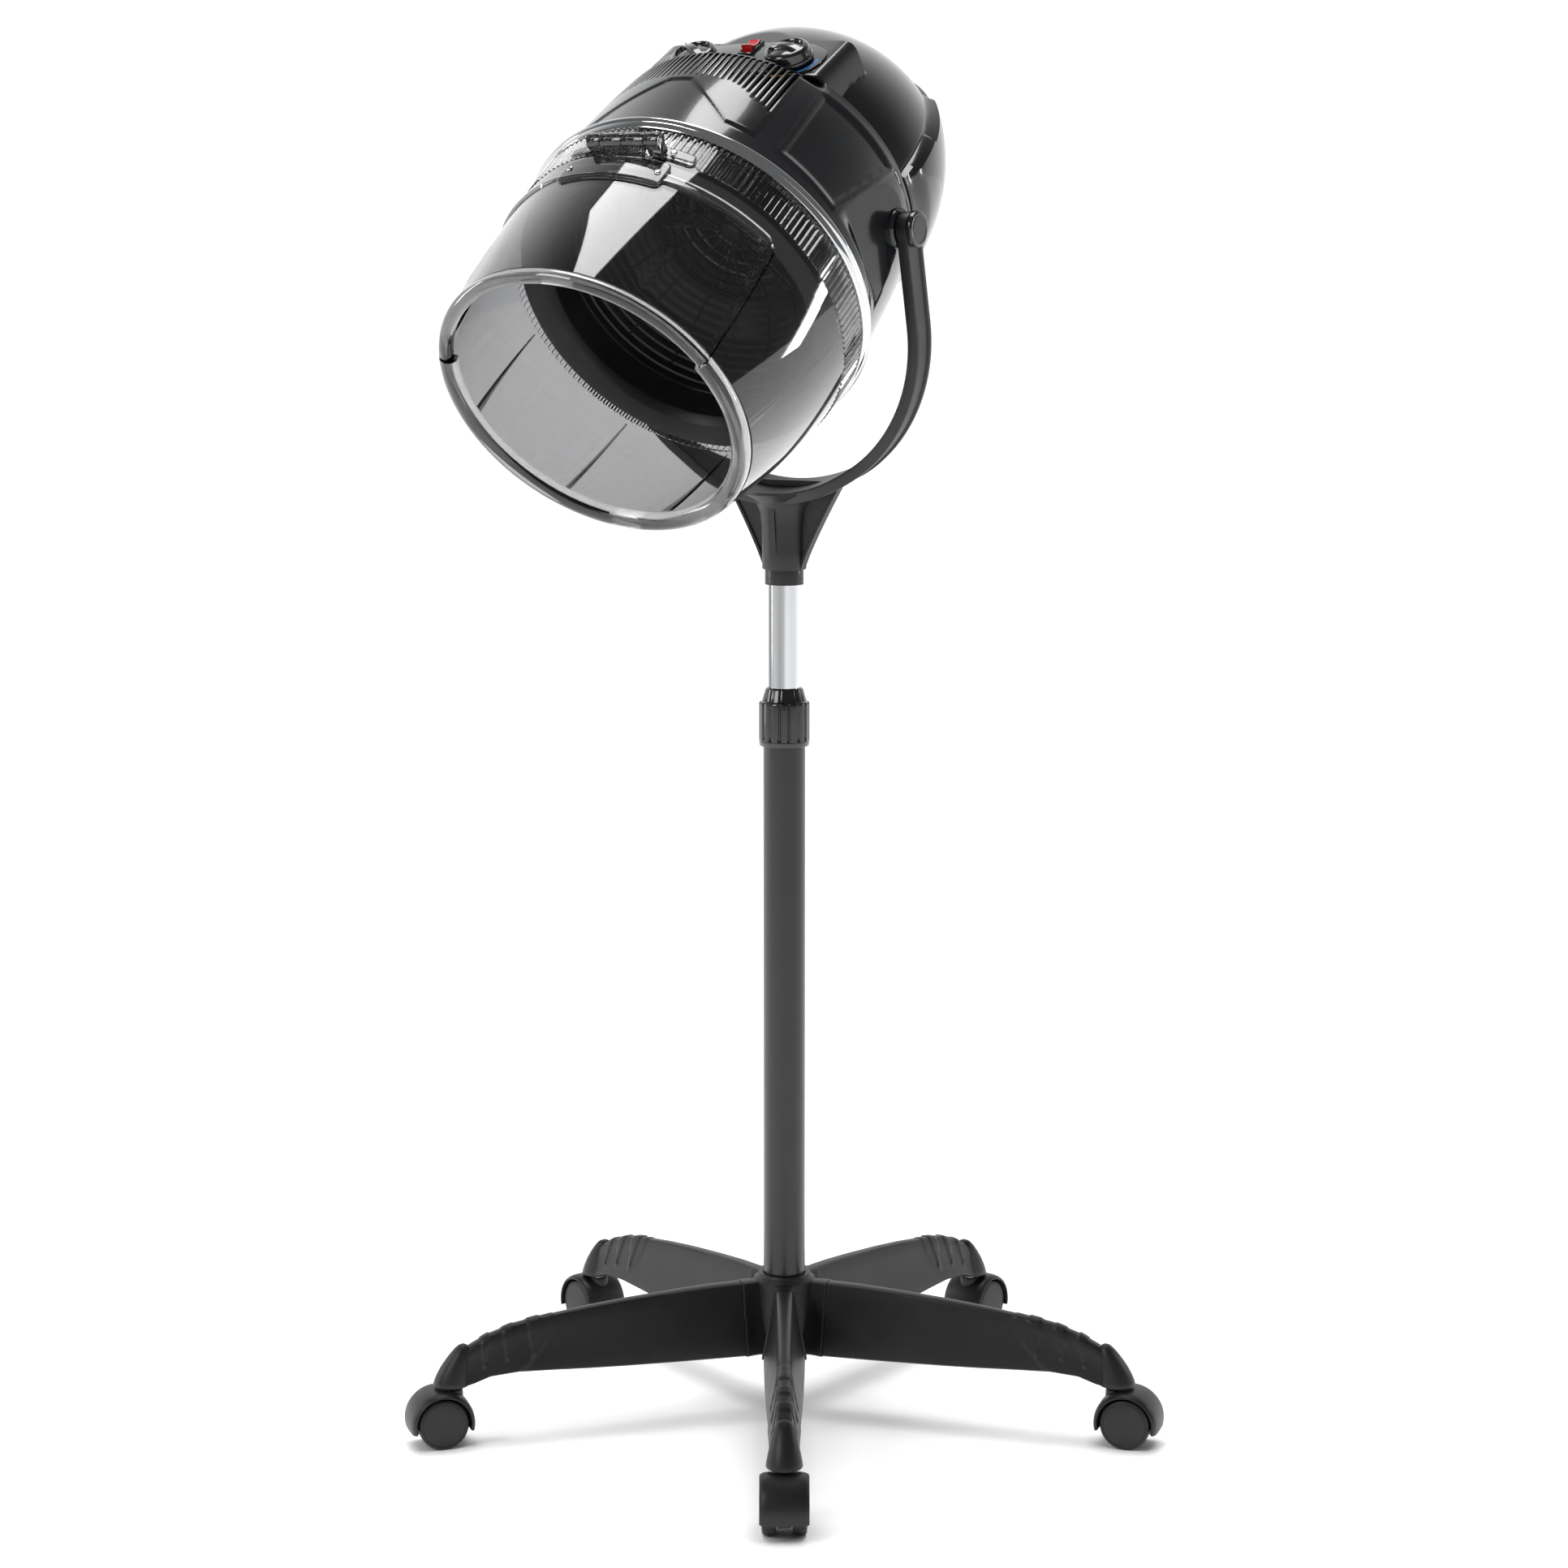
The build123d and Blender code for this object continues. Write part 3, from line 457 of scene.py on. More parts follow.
def shell_relief(degrees, s):
    """Height of the moulded steps over the plain shell."""
    x = fold_of(degrees) * ARC
    bridge = inside_distance(x, s, BRIDGE)
    relief = 1.5 * smooth((bridge + 1.5) / 3.0)
    side = inside_distance(x, s, SIDE_PANEL)
    relief = relief - 2.4 * smooth((side - 1.0) / 5.5)
    # A rolled lip follows the side panel's edge.
    relief = relief + 0.7 * np.exp(-((side + 1.5) / 2.2) ** 2)
    # The edge over the control panel is let down, so the knobs can be seen and reached.
    relief = relief - 6.5 * smooth((-25.0 - s) / 12.0) * smooth((46.0 - x / ARC) / 8.0)
    seam = np.exp(-((s + 27.5 + 0.18 * np.maximum(0,
                                                  x / ARC - 80)) / 0.9) ** 2) * smooth((x / ARC - 43) / 2.0)
    return relief - 1.1 * seam


def shell_surface(degrees, s):
    r = shell_radius(s) + shell_relief(degrees, s)
    turn = np.radians(degrees)
    x, y = r * np.cos(turn), r * np.sin(turn)
    # Soft flats where the yoke's arms pass.
    band = smooth((84.0 - s) / 16.0) * smooth((74.0 - y) / 20.0) * smooth((y + 104.0) / 20.0)
    over = np.maximum(0.0, np.abs(x) - FLAT)
    scale = 1.0 - band * over / np.maximum(np.abs(x), 1.0)
    return np.stack([x * scale, y, s + 0 * x], -1)


def slot_end(degrees):
    """Height at which each cooling slot runs out."""
    return 18.0 + 26.0 * np.maximum(0.0, (np.abs(degrees - 90.0) - 15.0) / 20.0) ** 1.5


def hood_shell():
    middles = np.arange(0.0, 360.0, SLOT_PITCH)
    heights = np.concatenate([np.linspace(SEAM, SEAM + 6, 7), np.linspace(SEAM + 7.5, 90.0, 55),
                              np.linspace(92.0, SHELL_END, 7)])
    ends = slot_end(middles)
    share = np.clip((heights[:, None] - SLOT_START) / (ends[None, :] - SLOT_START), 0, 1)
    half = SLOT_HALF + (SLOT_TIP - SLOT_HALF) * share
    gap = (SLOT_PITCH - 2 * half) / 3
    d = np.stack([middles - half, middles + half, middles + half + gap, middles + half + 2 * gap], -1)
    d = d.reshape(len(heights), -1)
    s = heights[:, None] + 0 * d
    slot_cell = np.zeros(d.shape[1], bool)
    slot_cell[::4] = np.abs(middles - 90.0) <= SLOT_SPAN
    reach = np.repeat(ends, 4)
    outer = shell_surface(d, s)
    inward = outer.copy()
    scale = (np.hypot(outer[..., 0], outer[..., 1]) - WALL) / np.hypot(outer[..., 0], outer[..., 1])
    inward[..., :2] *= scale[..., None]
    mid = (heights[:-1] + heights[1:]) / 2
    hole = slot_cell[None, :] & (mid[:, None] > SLOT_START) & (mid[:, None] < reach[None, :])
    # The slots' long edges are eased, so they catch the light.
    ease = np.zeros(d.shape)
    for column in np.nonzero(slot_cell)[0]:
        for side in (column, column + 1):
            ease[:, side] = np.where((heights > SLOT_START) & (heights < reach[column]), 0.35, 0.0)
    radius = np.hypot(outer[..., 0], outer[..., 1])
    outer[..., :2] *= ((radius - ease) / radius)[..., None]
    shell = thick_shell(outer, inward, ~hole)
    parts = [shell]
    for side in (-1, 1):
        boss = turned([(0, 138), (19, 138), (19, 152.5), (18.4, 155.0), (17.0, 156.5), (6.5, 156.5), (6.5,
                155.5),
                       (4.3, 155.5), (4.3, 150), (0, 150)], 64)
        verts = boss[0]
        parts.append((np.stack([side * verts[:, 2], verts[:, 1] - AXIS_LIFT, -verts[:, 0]], 1), boss[1]))
    piece("shell_skin", parts, "hood", "gloss_black", nodes=["hood_shell"], sharp=38)


def dome_radius(degrees, s):
    spread = np.clip(1 - (np.minimum(s - DOME_CENTRE, 0) / DOME_LENGTH) ** 2, 0, 1)
    full = DOME_R * np.sqrt(spread)
    turn = np.radians(degrees)
    high = np.sin(turn)
    dropped = -DOME_DROP * high + np.sqrt(np.maximum(full ** 2 - (DOME_DROP * np.cos(turn)) ** 2, 0))
    top = np.minimum(full, np.maximum(dropped, 0))
    plane = PANEL_HEIGHT - PANEL_SLOPE * (SEAM - s)
    level = np.where(high > 0.05, plane / np.maximum(high, 0.05), 1e6)
    half = np.minimum(PANEL_HALF / np.maximum(np.abs(np.cos(turn)), 1e-6), 1e6)
    platform = level * (1 + np.minimum(level / half, 50.0) ** 20) ** -0.05
    seat = np.minimum(platform, full) * (s >= PANEL_REAR)
    blended = np.maximum(np.minimum(top, level), seat)
    return np.where(high > 0, blended, full)


def rear_cover():
    degrees = np.arange(384) * 360.0 / 384
    turns = np.linspace(0, 90, 96)
    heights = np.concatenate([np.linspace(SEAM - 0.4, DOME_CENTRE, 14)[:-1],
                              DOME_CENTRE - DOME_LENGTH * np.sin(np.radians(turns))])
    d, s = np.meshgrid(degrees, heights)

    def surface(inset):
        r = dome_radius(d, s)
        # The raised lower belt that carries round behind the pivots.
        fold = fold_of(d)
        belt = smooth((fold - 87.0) / 2.2) * smooth((s + 181.0) / 5.0) * smooth((SEAM - 2 - s) / 26.0)
        r = r + 5.0 * belt
        groove = np.exp(-((fold - 86.0) / 0.5) ** 2) * smooth((SEAM - 4 - s) / 10.0) * smooth((s + 176) / 8.0)
        r = r - 0.9 * groove
        r = np.where(s > SEAM - 1.2, r - 0.7, r)
        r = np.maximum(r - inset, 0.05)
        return polar(r, d, s + inset * smooth((DOME_CENTRE - s) / DOME_LENGTH))

    outer, inner = surface(0.0), surface(WALL)
    ring = turned([(8.9, -214), (8.9, -226.8), (8.2, -228.4), (5.4, -228.4), (4.6, -227.6), (4.6, -214)], 48)
    piece("rear_cover_skin", [thick_shell(outer, inner), moved(ring, (0, INLET_V, 0))], "hood", "gloss_black",
          nodes=["rear_cover"], sharp=30)


def trim_ring():
    profile = [(163.4, RING_REAR), (168.9, RING_REAR), (169.5, RING_REAR + 0.3), (169.7, RING_REAR + 0.9),
               (169.7, RING_REAR + 2.2), (169.4, RING_REAR + 3.0), (168.5, RING_REAR + 5.2), (168.2,
                       RING_REAR + 5.5),
               (168.1, RING_REAR + 6.2), (167.0, SHELL_END - 1.2), (166.7, SHELL_END - 0.5), (166.2,
                       SHELL_END),
               (163.4, SHELL_END)]
    piece("trim_ring_skin", [turned(profile, 360)], "hood", "chrome", nodes=["trim_ring"], sharp=28)


# ---------------------------------------------------------------- clear skirt and visor


def rim_point(radius, degrees, depth=0.0):
    """A point of the leaning rim frame, in the hood's frame."""
    turn = np.radians(degrees)
    lean_c, lean_s = math.cos(math.radians(RIM_SLOPE)), math.sin(math.radians(RIM_SLOPE))
    y = radius * np.sin(turn)
    return np.stack([radius * np.cos(turn), RIM_LIFT + y * lean_c - depth * lean_s,
                     RIM + y * lean_s + depth * lean_c], -1)


def skirt_point(t, degrees, inset):
    """A point of the tapering wall: t runs from the fluted band to the rim."""
    bulge = 3.2 * 4 * t * (1 - t) * (0.5 - 0.5 * np.sin(np.radians(degrees))) + 1.2 * 4 * t * (1 - t)
    low = polar(SHIELD_R + bulge - inset, degrees, BAND_END)
    high = rim_point(RIM_R + bulge - inset, degrees)
    t = np.broadcast_to(np.asarray(t, float), np.shape(degrees))[..., None]
    return low * (1 - t) + high * t


def height_to_t(s):
    return (s - BAND_END) / (RIM - BAND_END)


CORNER = 15.0            # rounding of the visor's upper corners


def edge_angle(s):
    """The visor's side edge, in degrees from the pivots' direction, at a height."""
    e = 21.0 + 6.0 * np.clip((RIM - s) / 100.0, 0, 1.35)
    x = np.clip((VISOR_START + CORNER - s) / CORNER, 0, 1)
    corner = CORNER * (1 - np.sqrt(np.maximum(0.0, 1 - x * x)))
    return e + corner / ARC


def skirt_rows(columns, rows_t, tube):
    """Outer and inner grids for the skirt and its rolled rim; columns gives each row's angles."""
    outer, inner = [], []
    for t in rows_t:
        degrees = columns(BAND_END + t * (RIM - BAND_END))
        outer.append(skirt_point(t, degrees, 0.0))
        inner.append(skirt_point(t, degrees, SHIELD_WALL))
    last = columns(RIM)
    centre_r = RIM_R - tube + 1.4
    steps = 12
    for i in range(steps + 1):
        out_turn = math.radians(58.0 - (58.0 + 88.0) * i / steps)
        in_turn = math.radians(140.0 + (268.0 - 140.0) * i / steps)
        outer.append(rim_point(centre_r + tube * math.cos(out_turn), last, -1.0 - tube * math.sin(out_turn)))
        inner.append(rim_point(centre_r + tube * math.cos(in_turn), last, -1.0 - tube * math.sin(in_turn)))
    return np.array(outer), np.array(inner)


def rib(angle):
    """A moulded stiffener inside the skirt that widens to the rim."""
    steps = 14
    centre, height, width = [], [], []
    for i in range(steps + 1):
        t = 0.05 + 0.90 * i / steps
        centre.append(skirt_point(np.float64(t), np.float64(angle), SHIELD_WALL - 0.6))
        height.append(1.0 + 5.2 * (i / steps) ** 1.4)
        width.append(0.8 + 2.0 * (i / steps))
    turn = math.radians(angle)
    inwards = np.array([-math.cos(turn), -math.sin(turn), 0.0])
    sideways = np.array([-math.sin(turn), math.cos(turn), 0.0])

    def section(i):
        w, h = width[i], height[i]
        return [(-w, 0), (-w * 0.75, h * 0.6), (-w * 0.3, h), (w * 0.3, h), (w * 0.75, h * 0.6), (w, 0)]

    return swept([np.array(c) for c in centre], [sideways] * (steps + 1), [inwards] * (steps + 1), section)


def shield():
    per_tooth = 4
    uniform = np.arange(TEETH * per_tooth) * 360.0 / (TEETH * per_tooth)
    opening = (uniform > 33.0) & (uniform < 147.0)
    first, last = uniform[opening][0], uniform[opening][-1]

    def columns(s):
        """Even columns on the band; lower down the opening's columns stay between the visor's edges."""
        if s <= BAND_END:
            return uniform
        blend = smooth(np.float64((s - BAND_END) / (VISOR_START - BAND_END)))
        edge = edge_angle(np.float64(max(s, VISOR_START))) - 0.55
        top = edge + (180.0 - 2 * edge) * (uniform - first) / (last - first)
        lower_start = last
        span = 360.0 - (last - first)
        around = (uniform - lower_start) % 360.0
        bottom = (180.0 - edge + (180.0 + 2 * edge) * around / span)
        target = np.where(opening, top, bottom)
        target = np.where(target - uniform > 180.0, target - 360.0, target)
        return uniform * (1 - blend) + target * blend

    band_heights = [SHELL_END + 0.6, SHELL_END + 0.9, SHELL_END + 12, BAND_END - 12, BAND_END - 1.2,
                    BAND_END - 0.3]
    phase = np.tile(np.array([0.0, 0.0, 1.0, 1.0]), TEETH)
    band_outer = np.array([polar(TOOTH_R - TOOTH_DEPTH * phase, uniform, h) for h in band_heights])
    band_inner = np.array([polar(BAND_INNER_R, uniform, h) for h in band_heights])
    heights = np.concatenate([[BAND_END, BAND_END + 1.5, 156.0, 161.0],
                              VISOR_START + np.array([0.0, 0.5, 2, 4, 6.5, 9.5, 12.5,
                              15.5, 20.0]), np.linspace(192, RIM - 6, 22)])
    rows_t = height_to_t(heights)
    wall_outer, wall_inner = skirt_rows(columns, rows_t, RIM_TUBE)
    outer = np.vstack([band_outer, wall_outer])
    inner = np.vstack([band_inner, wall_inner])
    row_heights = np.concatenate([band_heights, heights, np.full(len(wall_outer) - len(heights), RIM)])
    cell_open = opening & np.roll(opening, -1)
    keep = np.ones((len(row_heights) - 1, len(uniform)), bool)
    keep[row_heights[:-1] >= VISOR_START - 0.01] = ~cell_open
    parts = [thick_shell(outer, inner, keep)]
    parts.append(turned([(157.3, RING_REAR + 2.2), (163.2, RING_REAR + 2.2), (163.2, SHELL_END - 0.4), (160.9,
            SHELL_END),
                         (160.9, SHELL_END + 4), (157.3, SHELL_END + 4)], 180))
    for angle in (-90, -127, -53, -170, -10):
        parts.append(rib(angle))
    piece("shield_skin", parts, "hood", "smoked_clear", nodes=["shield"], sharp=30)


def visor():
    steps = 120
    share = np.linspace(0, 1, steps + 1)

    def columns(s):
        edge = edge_angle(np.float64(max(s, VISOR_START))) + 0.25
        return edge + (180.0 - 2 * edge) * share

    heights = np.concatenate([VISOR_START + np.array([0.9, 1.4, 2.6, 4.5, 7, 10, 13, 16, 20]),
                              np.linspace(192, RIM - 6, 26)])
    rows_t = height_to_t(heights)
    outer, inner = skirt_rows(columns, rows_t, VISOR_TUBE)
    # The edge frame stands a little proud of the pane, and two creases run down to the rim.
    turn = np.degrees(np.arctan2(outer[..., 1], outer[..., 0]))
    s = outer[..., 2]
    off_side = (np.minimum(turn, 180 - turn) - edge_angle(np.minimum(np.maximum(s, VISOR_START), RIM))) * ARC
    off_top = s - VISOR_START
    rim_zone = smooth((RIM - 8 - s) / 10.0)
    frame_in = np.minimum(off_side, off_top)
    step = 1.5 * smooth((13.0 - frame_in) / 2.0)
    bead = 1.1 * np.exp(-((frame_in - 11.5) / 1.3) ** 2)
    raise_by = (step + bead) * rim_zone
    crease = 0.9 * np.exp(-((np.abs(turn - 90.0) - 35.0) / 0.8) ** 2) * smooth((s - 222) / 30.0) * rim_zone
    direction = np.stack([np.cos(np.radians(turn)), np.sin(np.radians(turn)), 0 * turn], -1)
    outer = outer + direction * (raise_by + crease)[..., None]
    inner = inner + direction * (0.8 * raise_by)[..., None]
    piece("visor_skin", [thick_shell(outer, inner, wrap=False)], "visor", "smoked_clear", nodes=["visor"],
          sharp=30)


# ---------------------------------------------------------------- hinge


def crosswise(part, v, s):
    """A part turned about Z laid across the hood, its own Z along the pivots' direction."""
    verts = np.array(part[0])
    return np.stack([verts[:, 2] + HINGE_U, verts[:, 1] + v, s - verts[:, 0]], 1), part[1]


def knuckle(low, high, radius=BARREL_R, bore=PIN_HOLE_R):
    profile = [(bore, low + 0.1), (radius - 1.0, low + 0.1), (radius - 0.2, low + 0.5), (radius, low + 1.2),
               (radius, high - 1.2), (radius - 0.2, high - 0.5), (radius - 1.0, high - 0.1), (bore,
                       high - 0.1)]
    return crosswise(turned(profile, 48), HINGE_V, HINGE_S)


def curved_plate(radii, angle_span, s_span, corner, lean=0.0, both=False):
    """A plate that follows the skirt between two radii, with rounded corners at its far end or at both."""
    low, high = radii
    a0, a1 = angle_span
    s0, s1 = s_span
    degrees = np.linspace(a0, a1, 61)
    edge = np.minimum(degrees - a0, a1 - degrees) * ARC
    cut = np.where(edge < corner, corner - np.sqrt(np.maximum(0.0, corner ** 2 - (corner - edge) ** 2)), 0.0)
    near = cut if both else 0.0
    outer, inner = [], []
    for t in np.linspace(0, 1, 15):
        s = s0 + near + (s1 - cut - s0 - near) * t
        ease = 0.7 * max(0.0, 1 - min(t, 1 - t) * (s1 - s0) / 1.6)
        side = np.maximum(ease, 0.7 * np.maximum(0.0, 1 - edge / 1.6))
        outer.append(polar(high - side - lean * (s - s0), degrees, s))
        inner.append(polar(low - lean * (s - s0), degrees, s))
    return thick_shell(np.array(outer), np.array(inner), wrap=False)


def hinge():
    base = [knuckle(-BARREL_HALF, -LEAF_HALF - 0.4), knuckle(LEAF_HALF + 0.4, BARREL_HALF)]
    for side in (-1, 1):
        foot = slab(rounded_outline([(22.6, 160.5), (36.0, 160.5), (36.0, 173.5), (22.6, 173.5)], 0.8), -5.2,
                    5.2, 0.8)
        verts = np.array(foot[0])
        base.append((np.stack([side * verts[:, 0] + HINGE_U, verts[:, 1], HINGE_S + verts[:, 2]], 1),
                     foot[1]))
    for span in ((64.0, 78.0), (93.6, 108.0)):
        base.append(curved_plate((165.2, 167.6), span, (136.4, 148.0), 5.6, both=True))
    # A small lug stands under the barrel's left end.
    base.append(curved_plate((165.2, 168.6), (98.2, 101.4), (146.5, 152.5), 4.0))
    piece("hinge_base_skin", base, "hood", "smoked_clear", nodes=["hinge_base"], look="smoked_dark", sharp=30)
    leaf = [knuckle(-LEAF_HALF, -0.3), knuckle(0.3, LEAF_HALF)]
    left, right = HINGE_U - 21.0, HINGE_U + 21.0
    arm = slab(rounded_outline([(left, 147.0), (right, 147.0), (right, 158.5), (left, 158.5)], 1.5), 0.0, 2.6,
               0.7)
    verts = np.array(arm[0])
    rise = np.interp(verts[:, 1], [147.0, 158.5], [171.5, 165.2])
    bow = np.sqrt(rise ** 2 - verts[:, 0] ** 2)
    leaf.append((np.stack([verts[:, 0], bow + verts[:, 2], verts[:, 1]], 1), arm[1]))
    leaf.append(curved_plate((164.2, 166.9), (69.0, 106.0), (155.2, 186.2), 7.0, lean=0.025, both=True))
    # The tab's lower boundary is a raised step.
    leaf.append(curved_plate((164.6, 167.4), (70.0, 105.0), (181.6, 184.6), 1.4, lean=0.02, both=True))
    piece("hinge_leaf_skin", leaf, "visor", "smoked_clear", nodes=["hinge_leaf"], look="smoked_dark",
          sharp=30)


# ---------------------------------------------------------------- bowl and grille


def bowl():
    profile = [(157.0, 118.0), (157.0, 146.6), (156.2, 148.0), (154.0, 148.4), (136.5, 148.4), (134.2, 147.8)]
    cone = [(128.0, 141.0), (119.0, 102.0), (101.0, 62.0), (76.4, 36.0)]
    lengths = np.cumsum([0] + [math.dist(cone[i], cone[i + 1]) for i in range(3)])
    reach = np.linspace(0, lengths[-1], 96)
    r = np.interp(reach, lengths, [p[0] for p in cone])
    z = np.interp(reach, lengths, [p[1] for p in cone])
    # Concentric steps on the wall, as moulded louvres.
    wave = ((reach - 26.0) / 8.6) % 1.0
    zone = smooth((reach - 24.0) / 3.0) * smooth((lengths[-1] - 3 - reach) / 3.0)
    step = np.where(wave < 0.72, 0.0, 2.0) * zone
    profile += [(float(a + b), float(c)) for a, b, c in zip(r, step, z)]
    profile += [(76.2, 31.0), (79.2, 31.0), (104.0, 59.5), (124.0, 101.0), (132.5, 138.0), (137.0, 145.5),
                (154.5, 145.5), (154.5, 118.0)]
    parts = [turned(profile, 240)]
    # Ribs run down the cone between the steps.
    path = [np.array(p) for p in ((79.0, 0.0, 38.0), (102.0, 0.0, 63.0), (119.0, 0.0, 101.0))]
    inward = [np.array(v) for v in ((-0.72, 0, 0.69), (-0.8, 0, 0.58), (-0.95, 0, 0.3))]
    bar = swept(path, [np.array([0, 1.0, 0])] * 3, inward, [(-1.0, -0.6), (-0.8, 0.9), (0.8, 0.9), (1.0,
            -0.6)])
    for k in range(16):
        parts.append(moved(bar, turn=22.5 * k + 11.25))
    piece("bowl_skin", parts, "hood", "bowl_black", nodes=["inner_bowl"], sharp=30)


def grille():
    parts = [turned([(0, 31.9), (9.0, 31.9), (9.4, 32.4), (9.2, 34.9), (8.0, 35.6), (0, 36.0)], 48)]
    for radius in (20.0, 31.0, 42.0, 53.0, 64.0, 75.4):
        cols = SPOKES * 8
        degrees = np.arange(cols) * 360.0 / cols
        swing = (degrees % (360.0 / SPOKES)) - 180.0 / SPOKES
        sag = math.cos(math.pi / SPOKES) / np.cos(np.radians(swing)) if radius < 75 else np.ones(cols)
        rows = [polar((radius - inset) * sag, degrees, h) for inset, h in
                ((0.1, 32.0), (0.0, 32.6), (0.1, 34.6), (0.6, 35.2), (1.5, 35.2), (2.0, 34.6), (2.1, 32.6),
                 (2.0, 32.0))]
        parts.append(loop_grid(np.array(rows), close_rows=True))
    for k in range(SPOKES):
        bar = slab(rounded_outline([(6, -0.9), (74.6, -1.1), (74.6, 1.1), (6, 0.9)], 0.3, 3), 32.0, 35.6, 0.5,
                   2)
        parts.append(moved(bar, turn=22.5 * k + 11.25))
    piece("grille_skin", parts, "hood", "bowl_black", nodes=["fan_grille"], sharp=35)


# ---------------------------------------------------------------- controls


def knob(name, u, node, body, pointing):
    """A tall round knob: a low dome with a scoop on either side of a bar across its face."""
    degrees = np.arange(192) * 360.0 / 192
    knurl = 0.3 * (np.cos(np.radians(degrees * 48)) < -0.3)
    rows = []
    for radius, height, cut in ((0.0, 2.3, 0), (21.0, 2.3, 0), (22.1, 2.6, 0), (22.5, 3.4, 1), (22.5, 6.0, 1),
                                (22.1, 6.8, 0),
                                (21.4, 7.4, 0), (21.1, 9.0, 0), (20.7, 13.4, 0), (20.4, 14.6, 0), (19.7, 15.4,
                                        0)):
        rows.append(polar(radius - cut * knurl, degrees, height))
    turn = np.radians(degrees)
    for radius in np.concatenate([np.linspace(19.0, 1.0, 32), [0.0]]):
        dome = 15.8 + (KNOB_TALL - 15.9) * (1 - (radius / 19.7) ** 2)
        off_bar = np.abs(radius * np.sin(turn))
        scoop = 3.8 * smooth((17.2 - radius) / 2.0) * smooth((off_bar - 2.8) / 1.9)
        rows.append(polar(np.full(degrees.shape, radius), degrees, dome - scoop))
    body_part = loop_grid(np.array(rows))
    part = moved(moved(body_part, turn=pointing + 90.0), (u, along_panel(KNOB_S), 0))
    piece(name, [part], body, "knob_black", place=PANEL, nodes=[node], sharp=34)
    spot = slab(rounded_outline([(-0.6, 11.0), (0.6, 11.0), (0.6, 17.0), (-0.6, 17.0)], 0.3, 3), 17.2, 19.0,
                0.08, 1)
    spot = moved(moved(spot, turn=pointing), (u, along_panel(KNOB_S), 0))
    piece(name + "_mark", [spot], body, "knob_black", place=PANEL, look="print_white", sharp=34)


def arc_band(radius, width, start, end, low, high):
    turns = np.linspace(start, end, max(3, int(abs(end - start) / 4) + 2))
    outer = np.array([polar(radius + width / 2, turns, h) for h in (low, high)])
    inner = np.array([polar(radius - width / 2, turns, h) for h in (low, high)])
    return thick_shell(outer, inner, wrap=False)


DIGITS = {"0": ((0, 0), (0, 2), (1, 2), (1, 0), (0, 0)), "1": ((0.5, 0), (0.5, 2)),
          "2": ((0, 2), (1, 2), (1, 1), (0, 1), (0, 0), (1, 0)), "3": ((0, 2), (1, 2), (1, 1), (0, 1), (1, 1),
                  (1, 0), (0, 0)),
          "4": ((0, 2), (0, 1), (1, 1), (1, 2), (1, 0)), "5": ((1, 2), (0, 2), (0, 1), (1, 1), (1, 0), (0,
                  0)),
          "6": ((1, 2), (0, 2), (0, 0), (1, 0), (1, 1), (0, 1))}


def number(text, x, y, size, low, high):
    """Plain digits drawn with short flat bars."""
    bars = []
    for i, letter in enumerate(text):
        left = x + (i - len(text) / 2) * size * 0.95
        strokes = DIGITS[letter]
        for (x0, y0), (x1, y1) in zip(strokes, strokes[1:]):
            p = np.array([left + x0 * size * 0.6, y + (y0 - 1) * size * 0.5])
            q = np.array([left + x1 * size * 0.6, y + (y1 - 1) * size * 0.5])
            along = (q - p) / np.linalg.norm(q - p)
            side = np.array([-along[1], along[0]]) * size * 0.07
            p, q = p - along * size * 0.07, q + along * size * 0.07
            bars.append(slab([p + side, p - side, q - side, q + side], low, high, 0.02, 1))
    return bars


